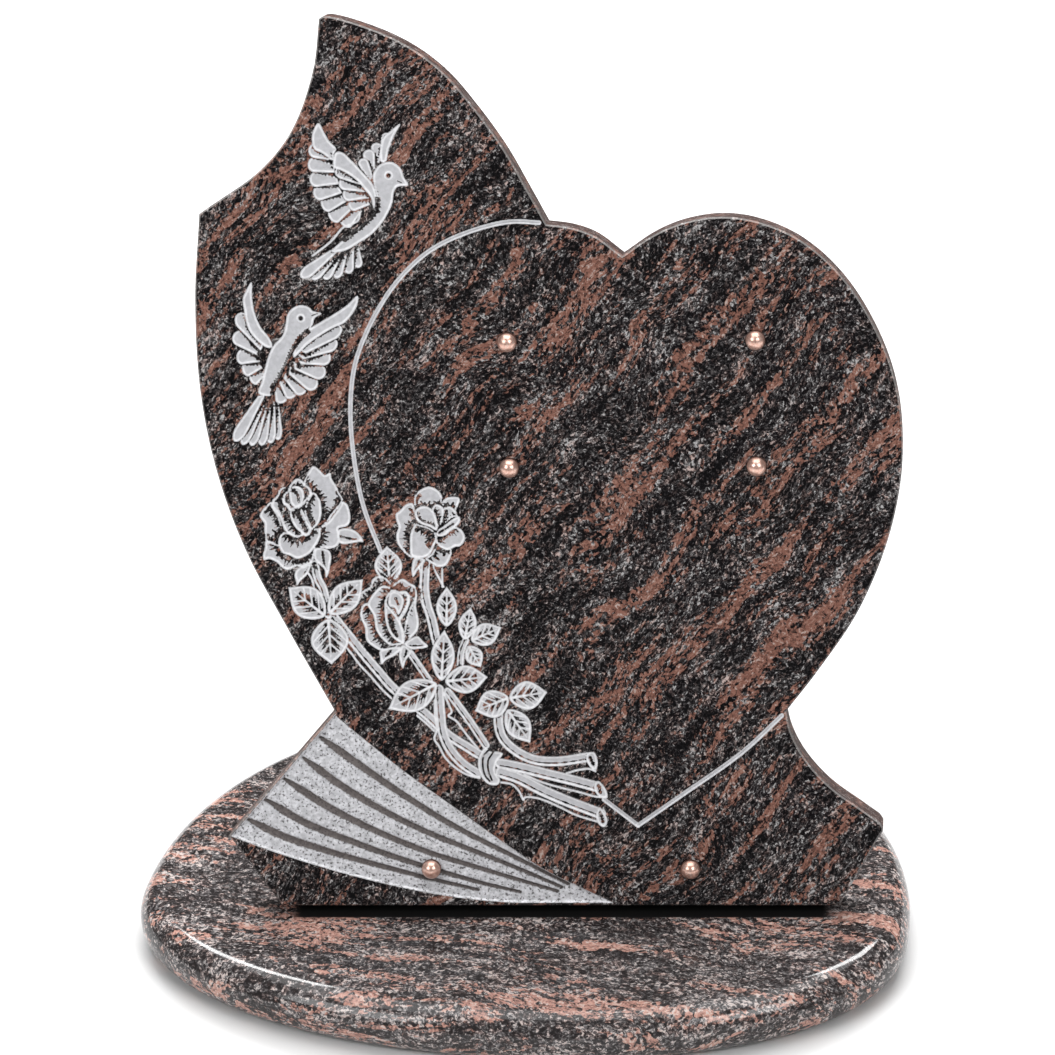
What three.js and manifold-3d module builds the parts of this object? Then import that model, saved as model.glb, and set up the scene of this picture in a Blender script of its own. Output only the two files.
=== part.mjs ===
// Heart funeral plaque: a carved granite slab with a heart, leaning back on an oval granite base
import * as THREE from 'three';
import Module from 'manifold-3d';

const wasm = await Module();
wasm.setup();

// Driving dimensions in millimetres and degrees
const SLAB_THICKNESS = 20;
const SLAB_LEAN = 20;
const SLAB_CHAMFER = 1;
const SLAB_REAR_CHAMFER = 0.6;
const BASE_THICKNESS = 25;
const BASE_HALF_WIDTH = 176;
const BASE_FRONT_DEPTH = 100;
const BASE_REAR_DEPTH = 172;
const BASE_FULLNESS = 2.1;
const BASE_TURN = -6;
const BASE_SIDES = 64;
const BASE_EDGE_STEPS = 8;
const SLAB_RIGHT_OF_CENTRE = 19;
const SLAB_BEHIND_CENTRE = -36;
const SEAT_GAP = 0.3;
const HEART_GROOVE_WIDTH = 1.8;
const HEART_GROOVE_DEPTH = 0.9;
const FAN_DEPTH = 1;
const FLUTE_DEPTH = 1.6;
const FLUTE_WIDE = 5;
const FLUTE_NARROW = 1.8;
const RELIEF_DEPTH = 0.8;
const STUD_DIAMETER = 9;
const STUD_HEIGHT = 5.8;
const STUD_SIDES = 12;
const STUD_DOME_STEPS = 5;
const NAME_PLATE_STUDS = { left: -19, right: 90.5, low: 199, high: 255 };
const FOOT_STUDS = { left: -57.5, right: 59, height: 17 };
const BRACKET = { width: 22, foot: 30, upright: 34, thickness: 3 };
const CUTTER_RISE = 0.5;

// Points in the slab's own plane: x to the right, y up from the middle of its bottom edge

function curveThrough(points, steps, closed = false) {
  const path = points.map(([x, y]) => new THREE.Vector3(x, y, 0));
  const curve = new THREE.CatmullRomCurve3(path, closed, 'centripetal');
  const found = curve.getPoints(steps).map((p) => [p.x, p.y]);
  return closed ? found.slice(0, -1) : found;
}

function signedArea(outline) {
  let sum = 0;
  outline.forEach(([x, y], i) => {
    const [nextX, nextY] = outline[(i + 1) % outline.length];
    sum += x * nextY - nextX * y;
  });
  return sum / 2;
}

// Moves every edge of a closed outline inwards by one distance
function inset(outline, distance) {
  const turn = Math.sign(signedArea(outline));
  const count = outline.length;
  const normal = (a, b) => {
    const length = Math.hypot(b[0] - a[0], b[1] - a[1]);
    return [(-turn * (b[1] - a[1])) / length, (turn * (b[0] - a[0])) / length];
  };
  return outline.map((here, i) => {
    const before = normal(outline[(i + count - 1) % count], here);
    const after = normal(here, outline[(i + 1) % count]);
    const share = 1 + before[0] * after[0] + before[1] * after[1];
    const scale = distance / Math.max(share, 0.5);
    return [here[0] + scale * (before[0] + after[0]), here[1] + scale * (before[1] + after[1])];
  });
}

// A closed solid through a stack of rings with equal counts; a ring may be folded onto a line
function solidThroughRings(rings, capLast = true) {
  const places = new Map();
  const positions = [];
  const triangles = [];
  const index = ([x, y, z]) => {
    const key = `${x.toFixed(4)},${y.toFixed(4)},${z.toFixed(4)}`;
    if (!places.has(key)) {
      places.set(key, positions.length / 3);
      positions.push(x, y, z);
    }
    return places.get(key);
  };
  const add = (a, b, c) => {
    if (a !== b && b !== c && c !== a) triangles.push(a, b, c);
  };
  const indexed = rings.map((ring) => ring.map(index));
  const count = rings[0].length;
  for (let level = 0; level + 1 < rings.length; level += 1) {
    for (let i = 0; i < count; i += 1) {
      const next = (i + 1) % count;
      add(indexed[level][i], indexed[level][next], indexed[level + 1][next]);
      add(indexed[level][i], indexed[level + 1][next], indexed[level + 1][i]);
    }
  }
  const cap = (ring, ids, reversed) => {
    const flat = ring.map(([x, y]) => new THREE.Vector2(x, y));
    const forward = signedArea(ring) > 0;
    const order = forward ? ids : [...ids].reverse();
    const contour = forward ? flat : flat.reverse();
    for (const [a, b, c] of THREE.ShapeUtils.triangulateShape(contour, [])) {
      if (forward === reversed) add(order[c], order[b], order[a]);
      else add(order[a], order[b], order[c]);
    }
  };
  cap(rings[0], indexed[0], true);
  if (capLast) cap(rings[rings.length - 1], indexed[rings.length - 1], false);
  return outwardGeometry(positions, triangles);
}

function outwardGeometry(positions, triangles) {
  let volume = 0;
  for (let i = 0; i < triangles.length; i += 3) {
    const [a, b, c] = [0, 1, 2].map((k) => new THREE.Vector3().fromArray(positions, 3 * triangles[i + k]));
    volume += a.dot(b.cross(c));
  }
  const order = [...triangles];
  if (volume < 0) {
    for (let i = 0; i < order.length; i += 3) [order[i], order[i + 1]] = [order[i + 1], order[i]];
  }
  const geometry = new THREE.BufferGeometry();
  geometry.setAttribute('position', new THREE.Float32BufferAttribute(positions, 3));
  geometry.setIndex(order);
  return geometry;
}

function toManifold(geometry) {
  return new wasm.Manifold(new wasm.Mesh({
    numProp: 3,
    vertProperties: new Float32Array(geometry.attributes.position.array),
    triVerts: new Uint32Array(geometry.index.array),
  }));
}

function toGeometry(manifold) {
  const mesh = manifold.getMesh();
  const geometry = new THREE.BufferGeometry();
  geometry.setAttribute('position', new THREE.Float32BufferAttribute(mesh.vertProperties, 3));
  geometry.setIndex(Array.from(mesh.triVerts));
  return geometry;
}

const atDepth = (outline, depth) => outline.map(([x, y]) => [x, y, SLAB_THICKNESS - depth]);

// Outline of a band along a centre line; halfWidth is a function of the share of the way along
function band(points, steps, halfWidth) {
  const line = curveThrough(points, steps);
  const left = [];
  const right = [];
  line.forEach(([x, y], i) => {
    const before = line[Math.max(i - 1, 0)];
    const after = line[Math.min(i + 1, line.length - 1)];
    const length = Math.hypot(after[0] - before[0], after[1] - before[1]);
    const across = [-(after[1] - before[1]) / length, (after[0] - before[0]) / length];
    const reach = halfWidth(i / (line.length - 1));
    left.push([x + reach * across[0], y + reach * across[1]]);
    right.push([x - reach * across[0], y - reach * across[1]]);
  });
  return [...left, ...right.reverse()];
}

// A groove with sloping walls, cut along a centre line
function groove(points, steps, halfWidth, depth, floorShare, above = 0) {
  const top = band(points, steps, halfWidth);
  const floor = band(points, steps, (t) => floorShare * halfWidth(t));
  return solidThroughRings([
    atDepth(top, above - CUTTER_RISE),
    atDepth(top, above),
    atDepth(floor, above + depth),
  ]);
}

// A pocket with upright walls and a flat floor inside a closed curve
function pocket(points, steps, margin, depth) {
  const outline = inset(curveThrough(points, steps, true), margin);
  return solidThroughRings([atDepth(outline, -CUTTER_RISE), atDepth(outline, depth)]);
}

// A leaf-shaped hollow from root to tip, deepest at its rim, with a raised rib down its middle
function blade([rootX, rootY, tipX, tipY, width], sideSteps, widest, depth, ribDepth) {
  const length = Math.hypot(tipX - rootX, tipY - rootY);
  const along = [(tipX - rootX) / length, (tipY - rootY) / length];
  const at = (t, side) => [
    rootX + t * length * along[0] - side * along[1],
    rootY + t * length * along[1] + side * along[0],
  ];
  const halfWidth = (t) => (width / 2) * Math.sin(Math.PI * t ** widest) ** 0.75;
  const shares = Array.from({ length: sideSteps }, (_, i) => (i + 1) / (sideSteps + 1));
  const outline = [
    at(0, 0),
    ...shares.map((t) => at(t, halfWidth(t))),
    at(1, 0),
    ...[...shares].reverse().map((t) => at(t, -halfWidth(t))),
  ];
  const rib = [
    at(shares[0], 0),
    ...shares.map((t) => at(t, 0)),
    at(shares[sideSteps - 1], 0),
    ...[...shares].reverse().map((t) => at(t, 0)),
  ];
  return solidThroughRings([
    atDepth(outline, -CUTTER_RISE),
    atDepth(outline, depth),
    atDepth(rib, ribDepth),
  ], false);
}

// Outline of the slab, in stretches that meet at its corners, counterclockwise from the bottom left
const bottomLeft = [-125.5, 0];
const bottomRight = [125.5, 0];
const wingTip = [[143.2, 31.4], [145.2, 34.9], [143.4, 38]];
const wingArc = [[143.4, 38], [135.3, 43.9], [122.9, 53], [114.1, 62.1], [107.9, 71.2], [104, 80.3]];
const heartLowerRight = [102.3, 88.4];
const rightLobe = [heartLowerRight, [117.1, 107.4], [135.1, 134.4], [149.4, 170.2], [154.9, 205.8],
  [150.3, 241.4], [133, 276.8], [112.7, 297.3], [93, 306.7], [76.5, 309.3], [60.2, 307.1], [46.9, 301.9]];
const heartCleft = [32.3, 292.4];
const leftLobe = [heartCleft, [20.5, 301.3], [10, 305.2]];
const flameFoot = [-0.8, 306.8];
const flameBack = [flameFoot, [-9.1, 322.3], [-18.9, 340], [-31.3, 357.7], [-44.2, 373.2], [-58, 384.3],
  [-75.9, 393.3], [-97, 399.3]];
const flameApex = [-99.2, 398.2];
const flameHollow = [flameApex, [-102.3, 376.1], [-112.2, 349.9], [-126.4, 332.4]];
const leftCorner = [-154.5, 313];
const leftSide = [leftCorner, [-157.4, 275], [-156.3, 235], [-150.1, 199], [-138.1, 163], [-119.7, 126.4]];
const wrist = [-99.5, 89];
const fanCorner = [-148.8, 32.2];

function stretch(points, end, steps) {
  return curveThrough([...points, end], steps).slice(0, -1);
}

const slabOutline = [
  bottomLeft,
  bottomRight,
  ...curveThrough(wingTip, 4).slice(0, -1),
  ...stretch(wingArc, heartLowerRight, 12),
  ...stretch(rightLobe, heartCleft, 44),
  ...stretch(leftLobe, flameFoot, 6),
  ...stretch(flameBack, flameApex, 16),
  ...stretch(flameHollow, leftCorner, 12),
  ...stretch(leftSide, wrist, 20),
  wrist,
  fanCorner,
];

function slabBlank() {
  const rear = inset(slabOutline, SLAB_REAR_CHAMFER);
  const front = inset(slabOutline, SLAB_CHAMFER);
  return solidThroughRings([
    rear.map(([x, y]) => [x, y, 0]),
    slabOutline.map(([x, y]) => [x, y, SLAB_REAR_CHAMFER]),
    atDepth(slabOutline, SLAB_CHAMFER),
    atDepth(front, 0),
  ]);
}

// The heart's outline is a groove where it crosses the slab and the slab's own edge elsewhere
const heartLineLeft = [[-4, 307.6], [-16, 308.2], [-28.8, 305.8], [-45.2, 299.8], [-56, 293.2], [-66.9, 282.7],
  [-74.6, 272.1], [-81.6, 259.3], [-86.8, 245.5], [-89.2, 228.6], [-88.6, 207.1], [-84.7, 182.8], [-77.3, 161.6]];
const heartLineRight = [[20.6, 48.6], [35.7, 36.7], [54.6, 49.9], [82.6, 69.9], [100.5, 86.6]];

function heartLineCutters() {
  const half = () => HEART_GROOVE_WIDTH / 2;
  const tip = heartLineRight[1];
  return [
    groove(heartLineLeft, 26, half, HEART_GROOVE_DEPTH, 0.2),
    groove([heartLineRight[0], tip], 2, half, HEART_GROOVE_DEPTH, 0.2),
    groove([tip, ...heartLineRight.slice(2)], 8, half, HEART_GROOVE_DEPTH, 0.2),
  ];
}

// The fan is let into the face down to one level, and its flutes run on from there
const fanTop = [[-98.5, 86.5], [-80, 70.7], [-69, 61.6], [-47.3, 45.5], [-30.4, 33], [-8.2, 17.4], [5.6, 10.1],
  [19, 3.7], [27, -1]];
const fanBottom = [[-19, -1], [-36.9, 1.6], [-59.3, 5.5], [-92.6, 13.6], [-126.3, 24], [-146, 31.4]];
const flutes = [
  [[-106.5, 77], [-91.4, 65.8], [-69.2, 50.1], [-47.4, 36.3], [-17.6, 20.7], [4, 9.6]],
  [[-114.5, 67.6], [-97.5, 54.7], [-80.6, 44.2], [-58.8, 33.1], [-36.4, 23.9], [-17.6, 16.2], [1, 8]],
  [[-123.2, 58], [-103.2, 44.7], [-80.9, 33.2], [-59, 24.1], [-36.6, 17], [-17.7, 11.2], [-1, 6.2]],
  [[-132, 48.5], [-114.7, 37.9], [-92.3, 28.6], [-69.9, 20.5], [-36.7, 10.4], [-17.8, 5.8]],
  [[-140, 39.4], [-126.1, 32.2], [-103.7, 24.4], [-81.2, 18], [-59.2, 12.2], [-36.7, 6.8]],
];

function fanCutters() {
  const top = curveThrough(fanTop, 14);
  const bottom = curveThrough(fanBottom, 8);
  const panel = [...top, ...bottom];
  const fluteHalf = (t) => {
    const blunt = Math.min(1, 0.3 + 6 * t);
    return (blunt * (FLUTE_WIDE + (FLUTE_NARROW - FLUTE_WIDE) * t)) / 2;
  };
  return [
    solidThroughRings([atDepth(panel, -CUTTER_RISE), atDepth(panel, FAN_DEPTH)]),
    ...flutes.map((line) => groove(line, 10, fluteHalf, FLUTE_DEPTH, 0.35, FAN_DEPTH)),
  ];
}

// Feathers and leaves: root x, root y, tip x, tip y, width
const doveHigh = {
  feathers: [
    [-71.5, 335, -65, 352, 3.2], [-73, 335, -70.5, 349, 3.6], [-75, 334, -75, 343.5, 3.2],
    [-77, 331, -79, 340.5, 3.4], [-77.5, 327.5, -82, 336.5, 3],
    [-86.5, 336.5, -101, 353, 6.6], [-92, 337, -105, 341.5, 4.4], [-93, 332, -105.5, 335, 4.4],
    [-92, 327, -105, 328, 4.4], [-91, 323, -103.5, 321.5, 4.4], [-89, 319.5, -100, 316, 4.6],
    [-87, 316, -96.5, 310.5, 4.6], [-83, 314.5, -91, 307.5, 4.2],
    [-77, 325, -93, 339.5, 5.6], [-80, 325.5, -93.5, 332.2, 3.8], [-79.5, 323, -92, 326.5, 3.8],
    [-79, 320.5, -90.5, 321, 3.8], [-78, 317.8, -88, 316, 3.6],
    [-93.5, 297, -110, 284.5, 4.4], [-92.5, 296.5, -105, 283.5, 3.8], [-91.5, 296.5, -99.5, 283.5, 3.8],
    [-89.5, 297, -94.5, 284, 3.8], [-87, 297.5, -89, 286, 3.8], [-85, 299, -84.3, 288.5, 3.4],
  ],
  spine: [[-69.5, 334.5], [-70, 329.5], [-71.5, 323.5], [-74, 316], [-79, 309], [-86, 302.5], [-93, 297.5]],
  girth: [2, 5.5, 4.6, 4.2, 4.4, 3.2, 1.4],
  beak: [[-66, 331.5], [-62, 325.5], [-67, 326]],
};
const doveLow = {
  feathers: [
    [-124.5, 254.5, -133.5, 282, 6.2], [-127.5, 253, -138.5, 268.5, 4.8], [-129, 251, -140.5, 259.5, 4.6],
    [-129, 248.5, -139.5, 249.5, 4.4], [-128.5, 245.5, -137, 243, 4], [-127.5, 242, -133.5, 238.5, 3.6],
    [-112.5, 254, -85.5, 276, 6.6], [-111, 251, -92.5, 262.5, 4.4], [-112, 249, -94.5, 256, 4.6],
    [-112.5, 247.5, -97.5, 249, 4.6], [-114.5, 245.5, -100, 241.5, 4.6], [-116.5, 243.5, -104, 235.5, 4.4],
    [-118.5, 241.5, -109.5, 233, 4.2], [-120, 239, -114.5, 231, 3.8], [-122, 236.5, -119.5, 228.5, 3.4],
    [-128, 233, -141.5, 211.5, 4.6], [-127, 232, -138, 210, 4], [-126, 232, -134, 209.5, 4],
    [-125.2, 232, -129.5, 209.5, 4], [-124, 232, -125.5, 210.5, 4], [-122.5, 231.5, -122, 212, 3.6],
  ],
  spine: [[-110, 271.5], [-110.5, 266.5], [-113, 260.5], [-118, 253.5], [-121.5, 247.5], [-124.3, 241.5], [-127, 233.5]],
  girth: [2, 5.5, 4.8, 4.6, 4.4, 3.2, 1.2],
  beak: [[-106, 270], [-102, 268.5], [-105.5, 265.5]],
};
const leaves = [
  [-103, 132.5, -119, 145, 13], [-101, 134, -85.5, 149, 11.2], [-101.5, 130, -100.5, 111, 15],
  [-48.5, 127.5, -48, 145.5, 8.2], [-73.5, 148.5, -74.5, 164, 11],
  [-40.5, 121.5, -37.5, 136, 7.2], [-37.5, 121, -24, 127, 9], [-39, 118.5, -33.5, 109, 7],
  [-51.3, 104, -49.5, 126, 9.4], [-53.5, 101.5, -75.5, 90, 12.6], [-49.5, 102.5, -30.5, 104.5, 11.2],
  [-21.5, 95, -36.5, 89, 11.2], [-19, 94.5, -4, 97, 10.6], [-21, 88.5, -12, 76, 9],
];
const sepals = [
  [-96, 169.5, -85, 166, 6], [-105, 161.5, -102, 150, 5], [-109.5, 154, -115, 146.5, 4],
  [-60, 156.5, -63, 150, 4], [-53.5, 153.5, -50, 146, 4],
  [-70, 116.5, -78, 110.5, 4], [-68, 116.5, -68.5, 108, 4], [-65.5, 119, -57, 118, 5.4],
];

// Roses: each petal is a closed curve through a few points, cut a little inside its line
const petals = [
  [[-110.5, 193.5], [-106.5, 200], [-99, 196.5], [-93.5, 184.5], [-100, 174.5], [-105.5, 172], [-103, 181]],
  [[-93.5, 184], [-90.5, 178.5], [-95.5, 172], [-97.5, 163], [-105.5, 164], [-104, 171]],
  [[-125.5, 184], [-131, 178], [-128, 166.5], [-123, 164.5], [-120, 170.5], [-123.5, 178]],
  [[-128, 165.5], [-129.5, 158], [-120, 153.5], [-109.5, 155], [-107, 161.5], [-114.5, 157.5], [-121.5, 162]],
  [[-120, 170], [-123, 164.5], [-115, 158.5], [-107, 162.5], [-104, 171], [-112.5, 168]],
  [[-117.5, 191], [-124.5, 186], [-122.5, 177], [-116.5, 169], [-113.5, 168.5], [-117.5, 177], [-120.5, 185]],
  [[-117.3, 181], [-113, 180.5], [-109, 171.5], [-112, 169], [-116.6, 176]],
  [[-108, 188.5], [-103.5, 183.5], [-105.5, 173.5], [-108.6, 171.5], [-110.5, 183]],
  [[-115.5, 193.8], [-110, 193], [-108, 189], [-110.3, 184.6], [-111.6, 189.6]],
  [[-62, 183], [-60.5, 188.5], [-55, 190.5], [-50, 187], [-51, 181.8], [-57, 181.8]],
  [[-49.5, 183], [-46.5, 185.5], [-42, 185.5], [-42.5, 180.5], [-46.5, 181]],
  [[-62.5, 182.5], [-70.5, 178.5], [-70, 168], [-66, 160.5], [-64, 160], [-63.8, 171], [-61.8, 175]],
  [[-61, 173.8], [-63.5, 166], [-61.5, 159], [-57.5, 158.5], [-52.5, 165], [-56.5, 172.8]],
  [[-61, 179.8], [-58, 181.2], [-54, 179.8], [-52, 174], [-53.6, 172], [-58, 174.4]],
  [[-43, 172], [-40, 168.5], [-44, 163.2], [-51, 165.4], [-50.6, 168.4]],
  [[-45, 162.6], [-46, 158], [-50.5, 155], [-56.5, 158], [-52.5, 162]],
  [[-51, 180.8], [-43.5, 181], [-41.5, 174.6], [-50.5, 169.8], [-51.3, 174]],
  [[-86.5, 143.5], [-80, 150], [-75.5, 150], [-73, 146.4], [-79, 145.6], [-83.5, 138.4]],
  [[-72, 146.6], [-68.5, 148.5], [-62.5, 146], [-62, 140], [-65.5, 142.6]],
  [[-83.2, 137.6], [-87, 135], [-85, 122], [-79, 117.3], [-70, 118.3], [-77.5, 122], [-81.6, 130]],
  [[-81.3, 141.5], [-78.5, 145.2], [-74, 145.2], [-76.6, 136], [-73, 121], [-77.5, 123], [-81, 133]],
  [[-75, 142.8], [-72, 144.2], [-65.4, 141.5], [-67.6, 131.5], [-67.8, 121.5], [-71.5, 121.5], [-76, 131]],
  [[-61.6, 139.2], [-61.5, 128], [-66.6, 120.9], [-66.3, 129], [-63.2, 137.2]],
];
const bud = { x: -114, y: 188, radius: 2.8 };

// Stems: centre line and width, from each flower or leaf down past the knot
const stems = [
  { line: [[-106.5, 153.5], [-102.5, 143]], width: 3.6 },
  { line: [[-95, 128.5], [-83, 111.5], [-73.5, 98], [-58.5, 86], [-48, 77.5], [-36.5, 70.5]], width: 4 },
  { line: [[-58, 153], [-58, 140.5], [-55, 131.5], [-52.5, 127]], width: 4 },
  { line: [[-65.5, 114.5], [-60, 107]], width: 3.2 },
  { line: [[-42, 118], [-42.5, 109.5]], width: 3 },
  { line: [[-52.2, 98], [-51.5, 86.5], [-50, 76], [-45.5, 69], [-36.5, 61]], width: 4.2 },
  { line: [[-48.5, 97], [-41, 86], [-33, 74.5]], width: 3.6 },
  { line: [[-25.5, 86], [-25, 77.5], [-21, 70.5], [-13, 66.5], [-0.5, 65.5], [14, 68]], width: 4.4 },
  { line: [[-23.5, 65], [-8.5, 61.5], [18, 54]], width: 5.2 },
  { line: [[-23.5, 60.5], [-8.5, 54], [19.5, 41.5]], width: 5.2 },
];
const knot = [[-30, 73], [-33.5, 69], [-34, 62], [-30.5, 56.5], [-26.5, 58], [-25.5, 65], [-27, 71]];

function reliefCutters() {
  const cutters = [];
  for (const dove of [doveHigh, doveLow]) {
    for (const row of dove.feathers) cutters.push(blade(row, 4, 1.35, RELIEF_DEPTH, 0.35 * RELIEF_DEPTH));
    const last = dove.girth.length - 1;
    const girth = (t) => {
      const place = t * last;
      const from = Math.min(Math.floor(place), last - 1);
      return dove.girth[from] + (place - from) * (dove.girth[from + 1] - dove.girth[from]);
    };
    cutters.push(groove(dove.spine, 12, girth, RELIEF_DEPTH, 0.6));
    cutters.push(solidThroughRings([atDepth(dove.beak, -CUTTER_RISE), atDepth(dove.beak, 0.5 * RELIEF_DEPTH)]));
  }
  for (const row of leaves) cutters.push(blade(row, 4, 1, RELIEF_DEPTH, 0.3 * RELIEF_DEPTH));
  for (const row of sepals) cutters.push(blade(row, 3, 0.9, RELIEF_DEPTH, 0.5 * RELIEF_DEPTH));
  petals.forEach((points, i) => {
    const steps = Math.round(1.6 * points.length);
    cutters.push(pocket(points, steps, 0.35, RELIEF_DEPTH * (0.7 + 0.15 * (i % 3))));
  });
  const budRing = Array.from({ length: 8 }, (_, i) => [
    bud.x + bud.radius * Math.cos((i * Math.PI) / 4),
    bud.y + bud.radius * Math.sin((i * Math.PI) / 4),
  ]);
  cutters.push(solidThroughRings([atDepth(budRing, -CUTTER_RISE), atDepth(budRing, RELIEF_DEPTH)]));
  for (const { line, width } of stems) {
    cutters.push(groove(line, 2 * line.length, () => width / 2, RELIEF_DEPTH, 0.45));
  }
  cutters.push(pocket(knot, 12, 0, RELIEF_DEPTH));
  return cutters;
}

function carvedSlab() {
  const cutters = [...heartLineCutters(), ...fanCutters(), ...reliefCutters()].map(toManifold);
  return toGeometry(cutters.reduce((solid, cutter) => solid.subtract(cutter), toManifold(slabBlank())));
}

// The base is an egg-shaped oval, blunter in front, with a full bullnose edge
function baseOutline() {
  const turn = THREE.MathUtils.degToRad(BASE_TURN);
  const outline = Array.from({ length: BASE_SIDES }, (_, i) => {
    const angle = (2 * Math.PI * i) / BASE_SIDES;
    const power = 2 / BASE_FULLNESS;
    const depth = Math.sin(angle) < 0 ? BASE_FRONT_DEPTH : BASE_REAR_DEPTH;
    const x = BASE_HALF_WIDTH * Math.sign(Math.cos(angle)) * Math.abs(Math.cos(angle)) ** power;
    const y = depth * Math.sign(Math.sin(angle)) * Math.abs(Math.sin(angle)) ** power;
    return [x * Math.cos(turn) - y * Math.sin(turn), x * Math.sin(turn) + y * Math.cos(turn)];
  });
  const middle = [0, 1].map((axis) => {
    const values = outline.map((point) => point[axis]);
    return (Math.min(...values) + Math.max(...values)) / 2;
  });
  return outline.map(([x, y]) => [x - middle[0], y - middle[1]]);
}

function basePlate() {
  const outline = baseOutline();
  const radius = BASE_THICKNESS / 2;
  const rings = [];
  for (let step = 0; step <= BASE_EDGE_STEPS; step += 1) {
    const angle = (Math.PI * step) / BASE_EDGE_STEPS - Math.PI / 2;
    const ring = inset(outline, radius * (1 - Math.cos(angle)));
    const height = radius * (1 + Math.sin(angle));
    rings.push(ring.map(([x, y]) => [x, y, height]));
  }
  return solidThroughRings(rings);
}

// A domed stud: a short neck against the stone under a rounded head
function studHead() {
  const radius = STUD_DIAMETER / 2;
  const neck = 0.75 * radius;
  const neckHeight = 0.15 * STUD_HEIGHT;
  const rimHeight = neckHeight + 0.06 * STUD_HEIGHT;
  const profile = [[neck, 0], [neck, neckHeight]];
  for (let step = 0; step < STUD_DOME_STEPS; step += 1) {
    const angle = (Math.PI / 2) * (step / STUD_DOME_STEPS);
    profile.push([radius * Math.cos(angle), rimHeight + (STUD_HEIGHT - rimHeight) * Math.sin(angle)]);
  }
  const ring = (r, z) => Array.from({ length: STUD_SIDES }, (_, i) => {
    const angle = (2 * Math.PI * i) / STUD_SIDES;
    return [r * Math.cos(angle), r * Math.sin(angle), z];
  });
  return solidThroughRings([...profile.map(([r, z]) => ring(r, z)), ring(0, STUD_HEIGHT)], false);
}

// A bent steel strip behind the slab: its upright follows the lean and its foot lies on the base
function bracketStrip() {
  const lean = THREE.MathUtils.degToRad(SLAB_LEAN);
  const { width, foot, upright, thickness } = BRACKET;
  const top = [upright * Math.sin(lean), upright * Math.cos(lean)];
  const innerTop = [top[0] + thickness * Math.cos(lean), top[1] - thickness * Math.sin(lean)];
  const innerCorner = [thickness * Math.tan(lean) + thickness / Math.cos(lean), thickness];
  const profile = [[0, 0], [foot, 0], [foot, thickness], innerCorner, innerTop, top];
  const side = (x) => profile.map(([y, z]) => [y, z, x]);
  const geometry = solidThroughRings([side(-width / 2), side(width / 2)]);
  const [right, back, up] = [[1, 0, 0], [0, 1, 0], [0, 0, 1]].map((axis) => new THREE.Vector3(...axis));
  return geometry.applyMatrix4(new THREE.Matrix4().makeBasis(back, up, right));
}

const granite = () => new THREE.MeshStandardMaterial({ color: 0x4a3a37, roughness: 0.25, metalness: 0 });
const copper = () => new THREE.MeshStandardMaterial({ color: 0xc48a72, roughness: 0.25, metalness: 1 });
const steel = () => new THREE.MeshStandardMaterial({ color: 0xa9abad, roughness: 0.4, metalness: 1 });

const plaque = new THREE.Group();

function place(parent, name, geometry, material) {
  const mesh = new THREE.Mesh(geometry, material);
  mesh.name = name;
  parent.add(mesh);
  return mesh;
}

place(plaque, 'base', basePlate(), granite());

// The slab's own frame stands on its rear bottom edge and is turned back by the lean
const leaning = new THREE.Group();
leaning.position.set(SLAB_RIGHT_OF_CENTRE, SLAB_BEHIND_CENTRE, BASE_THICKNESS + SEAT_GAP);
leaning.rotation.x = THREE.MathUtils.degToRad(90 - SLAB_LEAN);
plaque.add(leaning);
place(leaning, 'slab', carvedSlab(), granite());

const studPlaces = {
  stud_heart_upper_left: [NAME_PLATE_STUDS.left, NAME_PLATE_STUDS.high],
  stud_heart_upper_right: [NAME_PLATE_STUDS.right, NAME_PLATE_STUDS.high],
  stud_heart_lower_left: [NAME_PLATE_STUDS.left, NAME_PLATE_STUDS.low],
  stud_heart_lower_right: [NAME_PLATE_STUDS.right, NAME_PLATE_STUDS.low],
  stud_foot_left: [FOOT_STUDS.left, FOOT_STUDS.height],
  stud_foot_right: [FOOT_STUDS.right, FOOT_STUDS.height],
};
for (const [name, [x, y]] of Object.entries(studPlaces)) {
  const stud = place(leaning, name, studHead(), copper());
  const sunk = name === 'stud_foot_left' ? FAN_DEPTH : 0;
  stud.position.set(x, y, SLAB_THICKNESS + SEAT_GAP - sunk);
}

for (const [name, x] of [['bracket_left', FOOT_STUDS.left], ['bracket_right', FOOT_STUDS.right]]) {
  const bracket = place(plaque, name, bracketStrip(), steel());
  const behind = SEAT_GAP / Math.cos(THREE.MathUtils.degToRad(SLAB_LEAN));
  bracket.position.set(SLAB_RIGHT_OF_CENTRE + x, SLAB_BEHIND_CENTRE + behind, BASE_THICKNESS + SEAT_GAP);
}

export default plaque;
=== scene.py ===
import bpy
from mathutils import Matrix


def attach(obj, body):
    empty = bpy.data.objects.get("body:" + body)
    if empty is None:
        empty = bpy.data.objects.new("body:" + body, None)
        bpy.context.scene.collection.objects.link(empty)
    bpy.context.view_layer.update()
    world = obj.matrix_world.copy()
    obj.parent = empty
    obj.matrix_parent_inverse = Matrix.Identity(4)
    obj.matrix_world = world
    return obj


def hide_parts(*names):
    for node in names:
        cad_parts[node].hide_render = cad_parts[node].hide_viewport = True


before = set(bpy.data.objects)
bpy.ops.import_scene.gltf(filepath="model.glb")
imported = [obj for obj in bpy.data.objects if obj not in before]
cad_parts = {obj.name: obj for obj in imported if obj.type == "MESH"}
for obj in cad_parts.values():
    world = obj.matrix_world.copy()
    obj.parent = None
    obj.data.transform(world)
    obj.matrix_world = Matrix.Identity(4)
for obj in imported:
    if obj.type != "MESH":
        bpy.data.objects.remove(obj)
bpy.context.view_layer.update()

import math

import bpy
import numpy as np
from mathutils import Matrix, Vector
from mathutils.geometry import delaunay_2d_cdt

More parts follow.
